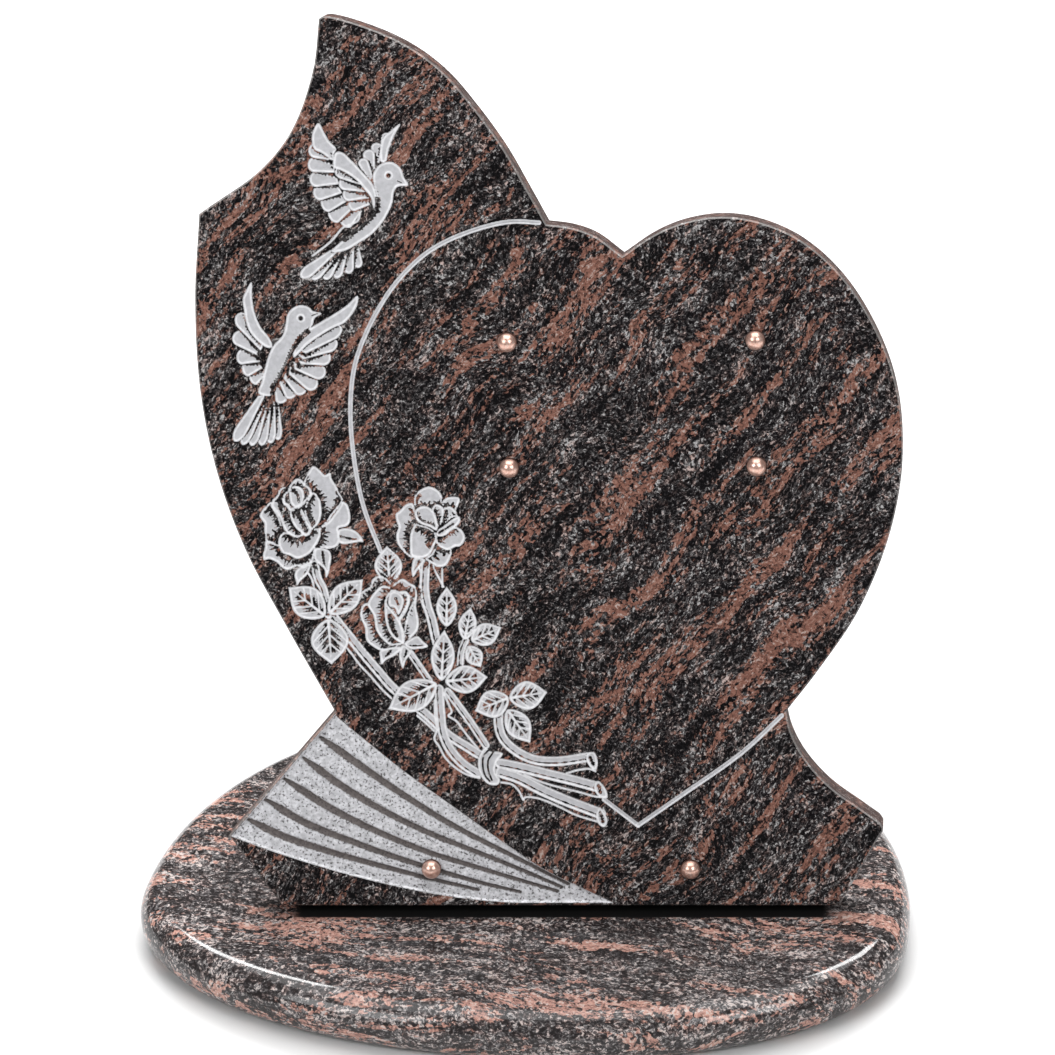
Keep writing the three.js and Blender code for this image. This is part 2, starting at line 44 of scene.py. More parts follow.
# The view: the camera stands well above the plaque and a little to its right, with a long lens
# and a slight roll, as in the photograph. The plaque fills the frame from edge to edge.
PHOTO_SIDE = 1055
FOCAL_PIXELS = 5060
SENSOR_MM = 36
CAMERA_TURN = math.radians(5)
CAMERA_RISE = math.radians(29)
CAMERA_ROLL = math.radians(2.756)
CAMERA_DISTANCE = 2.2
CAMERA_TARGET = Vector((0.011, -0.036, 0.216))


def add_object(name, data):
    """A new object in the scene, made of a mesh, a lens or a light."""
    new = bpy.data.objects.new(name, data)
    bpy.context.scene.collection.objects.link(new)
    return new


sight = Vector((
    -math.sin(CAMERA_TURN) * math.cos(CAMERA_RISE),
    math.cos(CAMERA_TURN) * math.cos(CAMERA_RISE),
    -math.sin(CAMERA_RISE),
))
level_right = Vector((math.cos(CAMERA_TURN), math.sin(CAMERA_TURN), 0))
level_up = level_right.cross(sight)
camera_right = math.cos(CAMERA_ROLL) * level_right - math.sin(CAMERA_ROLL) * level_up
camera_up = math.sin(CAMERA_ROLL) * level_right + math.cos(CAMERA_ROLL) * level_up

lens = bpy.data.cameras.new("camera")
lens.sensor_fit = "HORIZONTAL"
lens.sensor_width = SENSOR_MM
lens.lens = FOCAL_PIXELS / PHOTO_SIDE * SENSOR_MM
lens.clip_end = 20
camera = add_object("camera", lens)
turned = Matrix((camera_right, camera_up, -sight)).transposed().to_4x4()
camera.matrix_world = Matrix.Translation(CAMERA_TARGET - CAMERA_DISTANCE * sight) @ turned
bpy.context.scene.camera = camera

# The base: an egg-shaped plate of polished multicolour granite, blunter in front. Its rim is ground
# to a full round bullnose. It stands on its flat underside, and the slab is set on its top. A black
# strip of painted shadow, for the gap under the slab's front edge, lies matt on the base's top there.
MM = 0.001
BASE_THICKNESS = 25
BASE_HALF_WIDTH = 176
BASE_FRONT_DEPTH = 100
BASE_REAR_DEPTH = 172
BASE_FULLNESS = 2.1
BASE_TURN = math.radians(-6)
BASE_SIDES = 256
BASE_EDGE_STEPS = 24
EGG_STEPS = 4000
BASE_DRIFT = math.radians(-14)
GAP_SHADOW_MIDDLE = 19
GAP_SHADOW_HALF_WIDTH = 124.5
GAP_SHADOW_END_FADE = 7
GAP_SHADOW_FRONT = -54.2
GAP_SHADOW_REAR = -36


class Wire:
    """A socket of a material's node tree. Sums, differences and products of wires add Math nodes."""

    def __init__(self, tree, socket):
        self.tree = tree
        self.socket = socket

    def math(self, operation, *values):
        return add_node(self.tree, "ShaderNodeMath", {"operation": operation}, dict(enumerate(values)))

    def __add__(self, other):
        return self.math("ADD", self, other)

    def __sub__(self, other):
        return self.math("SUBTRACT", self, other)

    def __rsub__(self, other):
        return self.math("SUBTRACT", other, self)

    def __mul__(self, other):
        return self.math("MULTIPLY", self, other)

    __radd__ = __add__
    __rmul__ = __mul__

    def __abs__(self):
        return self.math("ABSOLUTE", self)

    def at_least(self, other):
        return self.math("MAXIMUM", self, other)

    def over(self, low, high):
        """0 where the value is low or less, 1 where it is high or more, and smooth between."""
        settings = {"interpolation_type": "SMOOTHSTEP"}
        limits = {"Value": self, "From Min": low, "From Max": high}
        return add_node(self.tree, "ShaderNodeMapRange", settings, limits)


def add_node(tree, kind, settings=None, inputs=None, output=0):
    """Adds a node: its settings come first, a ramp's stops among them, then its sockets."""
    node = tree.nodes.new(kind)
    for name, value in (settings or {}).items():
        if name == "stops":
            ramp = node.color_ramp.elements
            while len(ramp) < len(value):
                ramp.new(1)
            for element, (position, colour) in zip(ramp, value):
                element.position = position
                element.color = (*colour, 1)
        else:
            setattr(node, name, value)
    for key, value in (inputs or {}).items():
        if isinstance(value, Wire):
            tree.links.new(value.socket, node.inputs[key])
        else:
            node.inputs[key].default_value = value
    return Wire(tree, node.outputs[output])


def taken_apart(wire, kind):
    """The wires that come out of a node which takes a place or a colour apart."""
    first = add_node(wire.tree, kind, {}, {0: wire})
    return [Wire(wire.tree, socket) for socket in first.socket.node.outputs]


def noise(place, scale, detail, roughness=0.5, output=0):
    """Cloudy noise over a place. Output 0 is a value, and output 1 a colour to shift a place by."""
    inputs = {"Vector": place, "Scale": scale, "Detail": detail, "Roughness": roughness}
    return add_node(place.tree, "ShaderNodeTexNoise", {}, inputs, output)


def mix_colour(factor, first, second, blend="MIX"):
    """One colour laid over another by a factor; each is a wire or three plain numbers."""
    tree = next(wire.tree for wire in (factor, first, second) if isinstance(wire, Wire))
    sides = [side if isinstance(side, Wire) else (*side, 1) for side in (first, second)]
    settings = {"data_type": "RGBA", "blend_type": blend}
    return add_node(tree, "ShaderNodeMix", settings, {0: factor, 6: sides[0], 7: sides[1]}, 2)


def screen(red, green, blue):
    """A colour given in the 0 to 255 steps of a screen, as linear light."""
    return tuple(((step / 255 + 0.055) / 1.055) ** 2.4 if step > 10 else step / 255 / 12.92
                 for step in (red, green, blue))


def colour_ramp(value, stops):
    """Colours along a value. Each stop is a place from 0 to 1 and a colour in screen steps."""
    settings = {"stops": [(position, screen(*colour)) for position, colour in stops]}
    return add_node(value.tree, "ShaderNodeValToRGB", settings, {0: value})


def new_material(name):
    material = bpy.data.materials.new(name)
    material.use_nodes = True
    tree = material.node_tree
    shader = tree.nodes["Principled BSDF"]
    return material, tree, shader


def feed(shader, name, wire):
    wire.tree.links.new(wire.socket, shader.inputs[name])


def granite_colour(tree, axes, light=1.0, offset=0.0, grain=1.0):
    """Multicolour granite as a solid pattern. Its drifts run along the first of the three axes."""
    pink_from, pink_until = 0.70, 0.75
    curl_width = 0.055
    fleck_size = 0.17
    place = add_node(tree, "ShaderNodeTexCoord", output=3)
    turned = add_node(tree, "ShaderNodeMapping", {"vector_type": "POINT"}, {
        "Vector": place, "Location": (offset, 0, 0),
        "Rotation": Matrix(axes).to_euler("XYZ"), "Scale": (1 / MM / grain,) * 3})

    def shifted(vector, shift, reach):
        return add_node(tree, "ShaderNodeVectorMath", {"operation": "MULTIPLY_ADD"}, {
            0: shift, 1: reach, 2: vector})

    def stretched(vector, along, across):
        return add_node(tree, "ShaderNodeVectorMath", {"operation": "MULTIPLY"}, {
            0: vector, 1: (1 / along, 1 / across, 1 / across)})

    swirl = shifted(turned, noise(turned, 0.016, 2.0, output=1), (22, 26, 22))
    ragged = shifted(swirl, noise(turned, 0.55, 2.0, output=1), (2.2, 2.2, 2.2))
    drift = noise(stretched(swirl, 78, 8.5), 1.0, 3.5, 0.62)
    shade_drift = noise(stretched(swirl, 26, 6), 1.0, 3.0, 0.6)
    cells = add_node(tree, "ShaderNodeTexVoronoi", {"feature": "F1"}, {
        "Vector": stretched(ragged, 2.1, 1.5), "Scale": 1.0, "Randomness": 1.0}, 1)
    chance, tint, depth = taken_apart(cells, "ShaderNodeSeparateColor")
    grit = noise(stretched(ragged, 1.35, 1.0), 1.0, 2.0, 0.6)

    pink_share = (drift + chance * 0.15 + grit * 0.13).over(pink_from, pink_until)
    curls = noise(stretched(ragged, 2.3, 1.6), 1.0, 1.5) - 0.5
    curl = (curl_width - abs(curls)).over(0.0, curl_width)
    dark = colour_ramp(tint * 0.55 + shade_drift * 1.4 + grit * 2.4 + curl * 0.34 - 1.80, [
        (0.00, (8, 7, 9)), (0.32, (26, 24, 26)), (0.55, (65, 62, 63)),
        (0.78, (102, 98, 98)), (0.93, (148, 145, 145)), (1.00, (208, 206, 206))])
    pink = colour_ramp(depth * 0.6 + grit * 2.1 + curl * 0.2 - 0.90, [
        (0.00, (34, 29, 29)), (0.14, (94, 69, 62)), (0.40, (144, 100, 87)),
        (0.70, (166, 118, 103)), (0.90, (186, 148, 134)), (1.00, (212, 192, 184))])
    brown_share = (chance * 0.9 + drift * 1.6).over(1.05, 1.55)
    stone = mix_colour(brown_share * 0.9, dark, (1.22, 0.94, 0.86), "MULTIPLY")
    stone = mix_colour(pink_share, stone, pink)
    flecks = add_node(tree, "ShaderNodeTexVoronoi", {"feature": "F1"}, {
        "Vector": stretched(ragged, 4.4, 3.4), "Scale": 1.0}, 0)
    bright = (fleck_size - flecks).over(0.0, 0.08) * grit.over(0.42, 0.62)
    stone = mix_colour(1.0, stone, (light, light, light), "MULTIPLY")
    stone = mix_colour(bright * 0.7, stone, screen(172, 168, 168))
    return stone, grit


def mesh_piece(name, points, faces):
    """A smoothly shaded piece made of points and faces."""
    mesh = bpy.data.meshes.new(name)
    mesh.from_pydata([tuple(point) for point in points], [], faces)
    mesh.update()
    mesh.shade_smooth()
    return add_object(name, mesh)


def ring_faces(rings, count):
    """Faces that join each ring of points to the next."""
    faces = []
    for low in range(0, (rings - 1) * count, count):
        for side in range(count):
            after = (side + 1) % count
            faces.append((low + side, low + after, low + count + after, low + count + side))
    return faces


def egg_outline(sides):
    """The base's outline, centred on its own box."""
    angle = np.arange(sides) * 2 * math.pi / sides
    power = 2 / BASE_FULLNESS
    depth = np.where(np.sin(angle) < 0, BASE_FRONT_DEPTH, BASE_REAR_DEPTH)
    x = BASE_HALF_WIDTH * np.sign(np.cos(angle)) * np.abs(np.cos(angle)) ** power
    y = depth * np.sign(np.sin(angle)) * np.abs(np.sin(angle)) ** power
    cosine, sine = math.cos(BASE_TURN), math.sin(BASE_TURN)
    outline = np.column_stack([x * cosine - y * sine, x * sine + y * cosine])
    return outline - (outline.min(0) + outline.max(0)) / 2


def inset(outline, distance):
    """Every edge of a closed outline, given counterclockwise, moved inwards by one distance."""
    edge = np.roll(outline, -1, axis=0) - outline
    normal = np.column_stack([-edge[:, 1], edge[:, 0]]) / np.linalg.norm(edge, axis=1)[:, None]
    before = np.roll(normal, 1, axis=0)
    share = 1 + (before * normal).sum(1)
    return outline + (before + normal) * (distance / np.maximum(share, 0.5))[:, None]


def even_outline(outline, count):
    """Points at even steps along a closed outline."""
    closed = np.vstack([outline, outline[:1]])
    length = np.concatenate([[0], np.cumsum(np.linalg.norm(np.diff(closed, axis=0), axis=1))])
    steps = np.arange(count) * length[-1] / count
    return np.column_stack([np.interp(steps, length, closed[:, axis]) for axis in (0, 1)])


base_outline = even_outline(egg_outline(EGG_STEPS), BASE_SIDES)
edge_radius = BASE_THICKNESS / 2
base_points = []
for step in range(BASE_EDGE_STEPS + 1):
    angle = math.pi * step / BASE_EDGE_STEPS - math.pi / 2
    ring = inset(base_outline, edge_radius * (1 - math.cos(angle)))
    height = edge_radius * (1 + math.sin(angle))
    base_points += [(x * MM, y * MM, height * MM) for x, y in ring]
base_faces = ring_faces(BASE_EDGE_STEPS + 1, BASE_SIDES)
base_faces.append(tuple(reversed(range(BASE_SIDES))))
base_faces.append(tuple(BASE_EDGE_STEPS * BASE_SIDES + side for side in range(BASE_SIDES)))
base = mesh_piece("granite_base", base_points, base_faces)

base_axes = (
    (math.cos(BASE_DRIFT), math.sin(BASE_DRIFT), 0),
    (-math.sin(BASE_DRIFT), math.cos(BASE_DRIFT), 0),
    (0, 0, 1),
)
base_granite, tree, shader = new_material("base_granite")
stone, grit = granite_colour(tree, base_axes, light=1.42, offset=300, grain=1.2)
stone = mix_colour(0.08, stone, screen(122, 112, 109))
stone = mix_colour(1.0, stone, screen(196, 180, 174), "DARKEN")
stone = add_node(tree, "ShaderNodeHueSaturation", {}, {"Saturation": 0.88, "Color": stone})
place = add_node(tree, "ShaderNodeTexCoord", output=3)
right, back, up = taken_apart(place, "ShaderNodeSeparateXYZ")
# Painted shadow: the strip of the base's top under the slab's front edge is painted near black and made
# matt
painted_gap_shadow = (GAP_SHADOW_HALF_WIDTH * MM - abs(right - GAP_SHADOW_MIDDLE * MM)).over(0.0, GAP_SHADOW_END_FADE * MM)
painted_gap_shadow = painted_gap_shadow * back.over(GAP_SHADOW_FRONT * MM, (GAP_SHADOW_FRONT + 1) * MM) * (GAP_SHADOW_REAR * MM - back).over(0.0, MM)
painted_gap_shadow = painted_gap_shadow * up.over((BASE_THICKNESS - 1) * MM, (BASE_THICKNESS - 0.5) * MM)
stone = mix_colour(painted_gap_shadow, stone, screen(10, 10, 10))
feed(shader, "Base Color", stone)
feed(shader, "Roughness", grit * 0.06 + 0.08 + painted_gap_shadow * 0.6)
shader.inputs["Specular IOR Level"].default_value = 0.36
base.data.materials.append(base_granite)
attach(base, "root")
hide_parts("base")

# The slab: one plate of the same granite, sawn to a free outline with a heart at the right, a flame
# at the left and a fan at the foot. Its face is polished, and its sides and back are left matt. The
# doves, the roses, the heart's line and the fan are sandblasted into the face and painted silver.
SLAB_THICKNESS = 20
SLAB_LEAN = math.radians(20)
SLAB_RIGHT_OF_CENTRE = 19
SLAB_BEHIND_CENTRE = -36
SEAT_GAP = 0.3
SLAB_CHAMFER = 0.7
SLAB_REAR_CHAMFER = 0.6
SLAB_EDGE_STEP = 1.8
FLAT_STRIP = 0.35
GRID_STEP = 0.48
HEART_GROOVE_WIDTH = 1.8
HEART_GROOVE_DEPTH = 0.9
FAN_DEPTH = 1
FLUTE_DEPTH = 1.6
FLUTE_WIDE = 5
FLUTE_NARROW = 1.8
RELIEF_DEPTH = 0.6
RIM_WIDTH = 0.9
SILVER = 0.75
WHITE = 1.0
SLAB_DRIFT = math.radians(48)

# Points in the slab's own plane: x to the right, y up from the middle of its bottom edge
heart_lower_right = (102.3, 88.4)
heart_cleft = (32.3, 292.4)
flame_foot = (-0.8, 306.8)
flame_apex = (-99.2, 398.2)
left_corner = (-154.5, 313)
wrist = (-99.5, 89)
fan_corner = (-148.8, 32.2)
bottom_left = (-125.5, 0)
bottom_right = (125.5, 0)
slab_stretches = [
    [bottom_left, bottom_right],
    [bottom_right, (143.2, 31.4)],
    [(143.2, 31.4), (145.2, 34.9), (143.4, 38)],
    [(143.4, 38), (135.3, 43.9), (122.9, 53), (114.1, 62.1), (107.9, 71.2), (104, 80.3),
     heart_lower_right],
    [heart_lower_right, (117.1, 107.4), (135.1, 134.4), (149.4, 170.2), (154.9, 205.8), (150.3, 241.4),
     (133, 276.8), (112.7, 297.3), (93, 306.7), (76.5, 309.3), (60.2, 307.1), (46.9, 301.9), heart_cleft],
    [heart_cleft, (20.5, 301.3), (10, 305.2), flame_foot],
    [flame_foot, (-9.1, 322.3), (-18.9, 340), (-31.3, 357.7), (-44.2, 373.2), (-58, 384.3),
     (-75.9, 393.3), (-97, 399.3), flame_apex],
    [flame_apex, (-102.3, 376.1), (-112.2, 349.9), (-126.4, 332.4), left_corner],
    [left_corner, (-157.4, 275), (-156.3, 235), (-150.1, 199), (-138.1, 163), (-119.7, 126.4), wrist],
    [wrist, fan_corner],
    [fan_corner, bottom_left],
]


def curve_through(points, steps, closed=False):
    """A smooth curve through a few points, with a given count of steps."""
    points = np.asarray(points, float)
    count = len(points)
    spans = count if closed else count - 1
    place = np.arange(steps + 1) / steps * spans
    span = np.minimum(place.astype(int), spans - 1)
    share = (place - span)[:, None]
    if closed:
        around = [points[(span + shift) % count] for shift in (-1, 0, 1, 2)]
    else:
        ends = np.vstack([2 * points[0] - points[1], points, 2 * points[-1] - points[-2]])
        around = [ends[span + shift] for shift in (0, 1, 2, 3)]
    before, here, there, after = around
    gaps = [np.sqrt(np.linalg.norm(b - a, axis=1))[:, None] for a, b in zip(around, around[1:])]
    first, middle, last = (np.maximum(gap, 1e-6) for gap in gaps)
    leave = ((here - before) / first - (there - before) / (first + middle)
             + (there - here) / middle) * middle
    arrive = ((there - here) / middle - (after - here) / (middle + last)
              + (after - there) / last) * middle
    curve = (here + leave * share + (3 * (there - here) - 2 * leave - arrive) * share ** 2
             + (2 * (here - there) + leave + arrive) * share ** 3)
    return curve[:-1] if closed else curve


def evenly(path, step):
    """Points at even steps along an open path, both ends among them."""
    length = np.concatenate([[0], np.cumsum(np.linalg.norm(np.diff(path, axis=0), axis=1))])
    places = np.linspace(0, length[-1], max(2, math.ceil(length[-1] / step) + 1))
    return np.column_stack([np.interp(places, length, path[:, axis]) for axis in (0, 1)])


slab_outline = np.vstack([
    evenly(curve_through(stretch, 24 * len(stretch)), SLAB_EDGE_STEP)[:-1] for stretch in slab_stretches])


class Face:
    """The slab's front face as rows of points: how frosted each of them is and how deep it is cut."""

    def __init__(self, low, high, step):
        rise = step * math.sqrt(0.75)
        rows = math.ceil((high[1] - low[1]) / rise) + 1
        columns = math.ceil((high[0] - low[0]) / step) + 1
        self.low = low
        self.step = step
        self.rise = rise
        row, column = np.mgrid[0:rows, 0:columns]
        self.x = low[0] + (column + 0.5 * (row % 2)) * step
        self.y = low[1] + row * rise
        self.frost = np.zeros((rows, columns))
        self.depth = np.zeros((rows, columns))
        self.fan = np.zeros((rows, columns))

    def window(self, points, margin):
        """The rows and columns around some points."""
        low = np.min(points, axis=0) - margin
        high = np.max(points, axis=0) + margin
        rows, columns = self.x.shape
        first_row = max(0, math.floor((low[1] - self.low[1]) / self.rise))
        last_row = min(rows, math.ceil((high[1] - self.low[1]) / self.rise) + 1)
        first_column = max(0, math.floor((low[0] - self.low[0]) / self.step) - 1)
        last_column = min(columns, math.ceil((high[0] - self.low[0]) / self.step) + 1)
        return slice(first_row, last_row), slice(first_column, last_column)

    def near(self, path, reach):
        """The window round a path, each point's distance from it and its place along it."""
        place = self.window(path, reach)
        x, y = self.x[place], self.y[place]
        distance = np.full(x.shape, float(reach))
        along = np.zeros(x.shape)
        travelled = 0.0
        for start, end in zip(path[:-1], path[1:]):
            span = end - start
            length = float(np.hypot(*span))
            if length < 1e-9:
                continue
            rows, columns = self.window([start, end], reach)
            part = (slice(rows.start - place[0].start, rows.stop - place[0].start),
                    slice(columns.start - place[1].start, columns.stop - place[1].start))
            across_x, across_y = x[part] - start[0], y[part] - start[1]
            share = np.clip((across_x * span[0] + across_y * span[1]) / length ** 2, 0, 1)
            here = np.hypot(across_x - share * span[0], across_y - share * span[1])
            closer = here < distance[part]
            distance[part][closer] = here[closer]
            along[part][closer] = travelled + share[closer] * length
            travelled += length
        return place, distance, along

    def within(self, outline, reach):
        """As near, for a closed outline: the distance is counted positive inside it."""
        closed = np.vstack([outline, outline[:1]])
        place, distance, along = self.near(closed, reach)
        x, y = self.x[place], self.y[place]
        inside = np.zeros(x.shape, bool)
        for start, end in zip(closed[:-1], closed[1:]):
            crossing = (y >= min(start[1], end[1])) & (y < max(start[1], end[1]))
            if crossing.any():
                edge = start[0] + (y - start[1]) * (end[0] - start[0]) / (end[1] - start[1] or 1)
                inside ^= crossing & (x < edge)
        return place, np.where(inside, distance, -distance), along

    def lay(self, place, cover, frost, depth):
        """Lays frost and depth over a window by a share from 0 to 1."""
        self.frost[place] += cover * (frost - self.frost[place])
        self.depth[place] += cover * (depth - self.depth[place])


def soft(distance, width=0.4):
    """The share that a soft edge covers: 0 well outside, 1 well inside."""
    return np.clip(distance / width + 0.5, 0, 1)


def teeth(along, pitch, seed):
    """Uneven teeth along a line, from 0 to 1."""
    chance = np.random.default_rng(seed)
    knots = np.arange(0, along.max() + 2 * pitch, pitch / 2)
    heights = chance.uniform(0, 0.35, len(knots))
    heights[::2] = chance.uniform(0.45, 1.0, len(heights[::2]))
    return np.interp(along, knots, heights)


margin = 2
face = Face(slab_outline.min(0) - margin, slab_outline.max(0) + margin, GRID_STEP)
seeds = iter(range(1000))


def shadow_under(place, outside, along, width, pitch=1.3):
    """Bares the stone in ragged teeth on whatever lies under a shape's edge."""
    reach = width * (0.22 + 0.78 * teeth(along, pitch, next(seeds)) ** 1.2)
    cover = soft(reach - outside, 0.5) * (outside > -0.3)
    cover *= np.clip((0.98 - face.frost[place]) / 0.12, 0.12, 1)
    face.frost[place] *= 1 - cover
    face.depth[place] *= 1 - 0.6 * cover


def shape(outline, shadow=0.0, steps=0):
    """A frosted shape with a white rim, over the shadow that it throws."""
    smooth = curve_through(outline, steps or 5 * len(outline), closed=True)
    place, inside, along = face.within(smooth, max(4.5, shadow + 1))
    if shadow:
        shadow_under(place, -inside, along, shadow)
    frost = SILVER + (WHITE - SILVER) * soft(RIM_WIDTH - inside)
    sunk = RELIEF_DEPTH * (0.45 + 0.55 * np.clip(inside / 1.6, 0, 1))
    face.lay(place, soft(inside), frost, sunk)
    return place, inside


def hollow(outline, path, width, pitch=1.3, rim=RIM_WIDTH):
    """Bares the stone in teeth along a path, but only inside a shape and clear of its rim."""
    smooth = curve_through(outline, 5 * len(outline), closed=True)
    place, inside, _ = face.within(smooth, 4.5)
    line = curve_through(path, 6 * len(path))
    spot, distance, along = face.near(line, width + 1)
    rows = slice(max(place[0].start, spot[0].start), min(place[0].stop, spot[0].stop))
    columns = slice(max(place[1].start, spot[1].start), min(place[1].stop, spot[1].stop))
    if rows.start >= rows.stop or columns.start >= columns.stop:
        return
    own = (slice(rows.start - place[0].start, rows.stop - place[0].start),
           slice(columns.start - place[1].start, columns.stop - place[1].start))
    there = (slice(rows.start - spot[0].start, rows.stop - spot[0].start),
             slice(columns.start - spot[1].start, columns.stop - spot[1].start))
    reach = width * (0.3 + 0.7 * teeth(along[there], pitch, next(seeds)))
    cover = soft(reach - distance[there], 0.5) * soft(inside[own] - rim)
    face.frost[rows, columns] *= 1 - cover


def line(path, width, level=WHITE, depth=0.3):
    """A frosted line along a smooth path."""
    smooth = curve_through(path, 6 * len(path))
    place, distance, _ = face.near(smooth, width + 1)
    face.lay(place, soft(width / 2 - distance), level, depth)


def stem(path, width):
    """A stem: a silver band between two white sides, with a dark streak along it."""
    smooth = curve_through(path, 8 * len(path))
    place, distance, _ = face.near(smooth, width)
    inside = width / 2 - distance
    frost = SILVER + (WHITE - SILVER) * soft(0.8 - inside)
    sunk = RELIEF_DEPTH * (0.4 + 0.6 * np.clip(inside / 1.2, 0, 1))
    face.lay(place, soft(inside), frost, sunk)
    heading = np.gradient(smooth, axis=0)
    aside = np.column_stack([heading[:, 1], -heading[:, 0]]) / np.linalg.norm(heading, axis=1)[:, None]
    place, distance, along = face.near(smooth + aside * 0.2 * width, 2)
    streak = soft(0.12 + 0.45 * teeth(along, 4, next(seeds)) - distance, 0.35)
    face.frost[place] *= 1 - streak


def blade_outline(row, half_at, count=16):
    """The outline of a leaf or feather from root to tip, from its half width at each share of the way."""
    root_x, root_y, tip_x, tip_y, width = row
    length = math.hypot(tip_x - root_x, tip_y - root_y)
    along = np.array([tip_x - root_x, tip_y - root_y]) / length
    across = np.array([-along[1], along[0]])
    shares = 1 - (1 - np.arange(count + 1) / count) ** 1.4
    half = width / 2 * half_at(shares)
    middle = np.array([root_x, root_y]) + np.outer(shares * length, along)
    return np.vstack([middle + half[:, None] * across, (middle - half[:, None] * across)[-2:0:-1]])


def feather_half(share):
    return np.minimum(1, 0.42 + 0.75 * share) * np.sqrt(1 - np.clip((share - 0.76) / 0.24, 0, 1) ** 2)


def leaf_half(share):
    return np.sin(math.pi * np.clip(share, 0, 1) ** 0.92) ** (0.7 + 0.45 * np.clip(share, 0, 1))


def feather(row, spread_by=1.5):
    """A feather with a rounded tip, over the dark slit between it and the next."""
    outline = blade_outline((*row[:4], row[4] * spread_by), feather_half)
    place, inside, along = face.within(outline, 3)
    root, tip = np.array(row[:2]), np.array(row[2:4])
    span = tip - root
    share = ((face.x[place] - root[0]) * span[0] + (face.y[place] - root[1]) * span[1]) / (span @ span)
    slit = 2.6 * np.clip(1.15 - share, 0.14, 1) * (0.4 + 0.6 * teeth(along, 1.5, next(seeds)))
    cover = soft(slit + inside, 0.4)
    face.frost[place] *= 1 - cover
    face.depth[place] *= 1 - 0.5 * cover
    frost = SILVER + (WHITE - SILVER) * soft(0.75 - inside)
    face.lay(place, soft(inside), frost, RELIEF_DEPTH * (0.4 + 0.6 * np.clip(inside / 1.2, 0, 1)))


def leaf(row, veins=3, shadow=1.2):
    """A leaf with a white edge and a silver margin; the stone is bared in teeth between its veins."""
    row = (*row[:4], row[4] * 1.12)
    outline = blade_outline(row, leaf_half, 20)
    place, inside = shape(outline, shadow, steps=3 * len(outline))
    root, tip = np.array(row[:2], float), np.array(row[2:4], float)
    span = tip - root
    length = math.hypot(*span)
    x, y = face.x[place] - root[0], face.y[place] - root[1]
    share = (x * span[0] + y * span[1]) / length ** 2
    side = (y * span[0] - x * span[1]) / length
    half = row[4] / 2 * leaf_half(share)
    rise = np.abs(side) - 1.1 * share * length
    jagged = teeth(rise - rise.min() + 60 * (side > 0), 1.7, next(seeds))
    opened = soft(half * (0.24 + 0.56 * jagged) - np.abs(side), 0.5)
    opened *= np.clip((share - 0.05) / 0.05, 0, 1) * np.clip((0.8 - share) / 0.08, 0, 1)
    opened *= soft(inside - RIM_WIDTH)
    rib = soft(0.6 * (1.15 - share) - np.abs(side))
    for number in range(veins):
        start = 0.14 + 0.6 * number / veins
        slope = np.abs(side) - 1.0 * (share - start) * length
        rib = np.maximum(rib, soft(0.32 - np.abs(slope) * 0.7) * (share > start - 0.03))
    opened *= 1 - rib
    face.lay(place, soft(inside - 0.5) * rib * (share < 0.85), WHITE, 0.3)
    face.frost[place] *= 1 - opened
    face.depth[place] *= 1 - 0.4 * opened


# The stems and the leaf behind the roses, painted from the back to the front
stems = [
    ([(-107, 156), (-105.5, 149), (-103.5, 145), (-102, 138), (-101.5, 133)], 3.6),
    ([(-99, 132), (-96, 128), (-92.5, 123.5), (-85.5, 114.5), (-79, 106.5), (-73.5, 100), (-58.5, 87.5),
      (-48.5, 78), (-41, 73), (-34, 68.5)], 4.2),
    ([(-57, 158), (-58, 145), (-57, 137), (-55, 130.5), (-53, 120)], 4),
    ([(-65, 115.5), (-62, 111), (-56.5, 102.5)], 3),
    ([(-40, 121), (-42, 116), (-43, 104)], 3),
    ([(-52.5, 99), (-52, 88), (-51, 78.5), (-48, 71.5), (-42.5, 65), (-36, 60.5)], 4.2),
    ([(-48.5, 98), (-43.5, 91), (-38, 83), (-32, 73.5)], 3.4),
    ([(-26, 88), (-26, 82.5), (-24.5, 77), (-19.5, 71.5), (-11, 67), (-0.5, 66), (14.5, 68)], 4.2),
    ([(-25.5, 65), (-18, 63.5), (-4, 60), (6, 57.5), (17, 54.5)], 4.6),
    ([(-25.5, 61), (-18, 58.5), (-7.5, 53), (2.5, 48.5), (19, 42)], 4.8),
]
stem_lines = [
    [(-110, 152), (-108.5, 149.5), (-107.5, 145.5)],
    [(-94, 118.5), (-91.5, 115.5), (-88, 110.5), (-83, 105), (-78, 99), (-74, 95)],
    [(-62.5, 87), (-58.5, 83.5), (-55, 80)],
    [(-54.5, 94), (-54.5, 87), (-54, 80), (-55, 76.5), (-53, 73), (-50, 67.5), (-45.5, 63), (-40.5, 60),
     (-35, 58.5)],
    [(-50.5, 97.5), (-48, 91.5), (-47, 88.5), (-48.5, 87), (-45, 84.5), (-41, 79), (-35.5, 72)],
    [(-25.5, 56.5), (-20.5, 55.5), (-17.5, 52.5), (-15.5, 48.5), (-15, 49.5), (-10.5, 49.5), (-5.5, 48),
     (1, 45), (8, 41.5), (17.5, 38.5)],
    [(-15, 60), (-7, 56.5), (1.5, 54), (9.5, 52), (16.5, 50), (22, 49.5)],
    [(4, 60.5), (9, 62), (14.5, 62.5), (17, 61.5)],
    [(-62, 158.5), (-59.5, 151.5), (-60.5, 141), (-59.5, 138.5), (-57.5, 134), (-56.5, 129), (-55, 121.5)],
    [(-54, 155), (-52.5, 151.5), (-49.5, 145.5)],
    [(-50, 154), (-50, 145.5)],
]
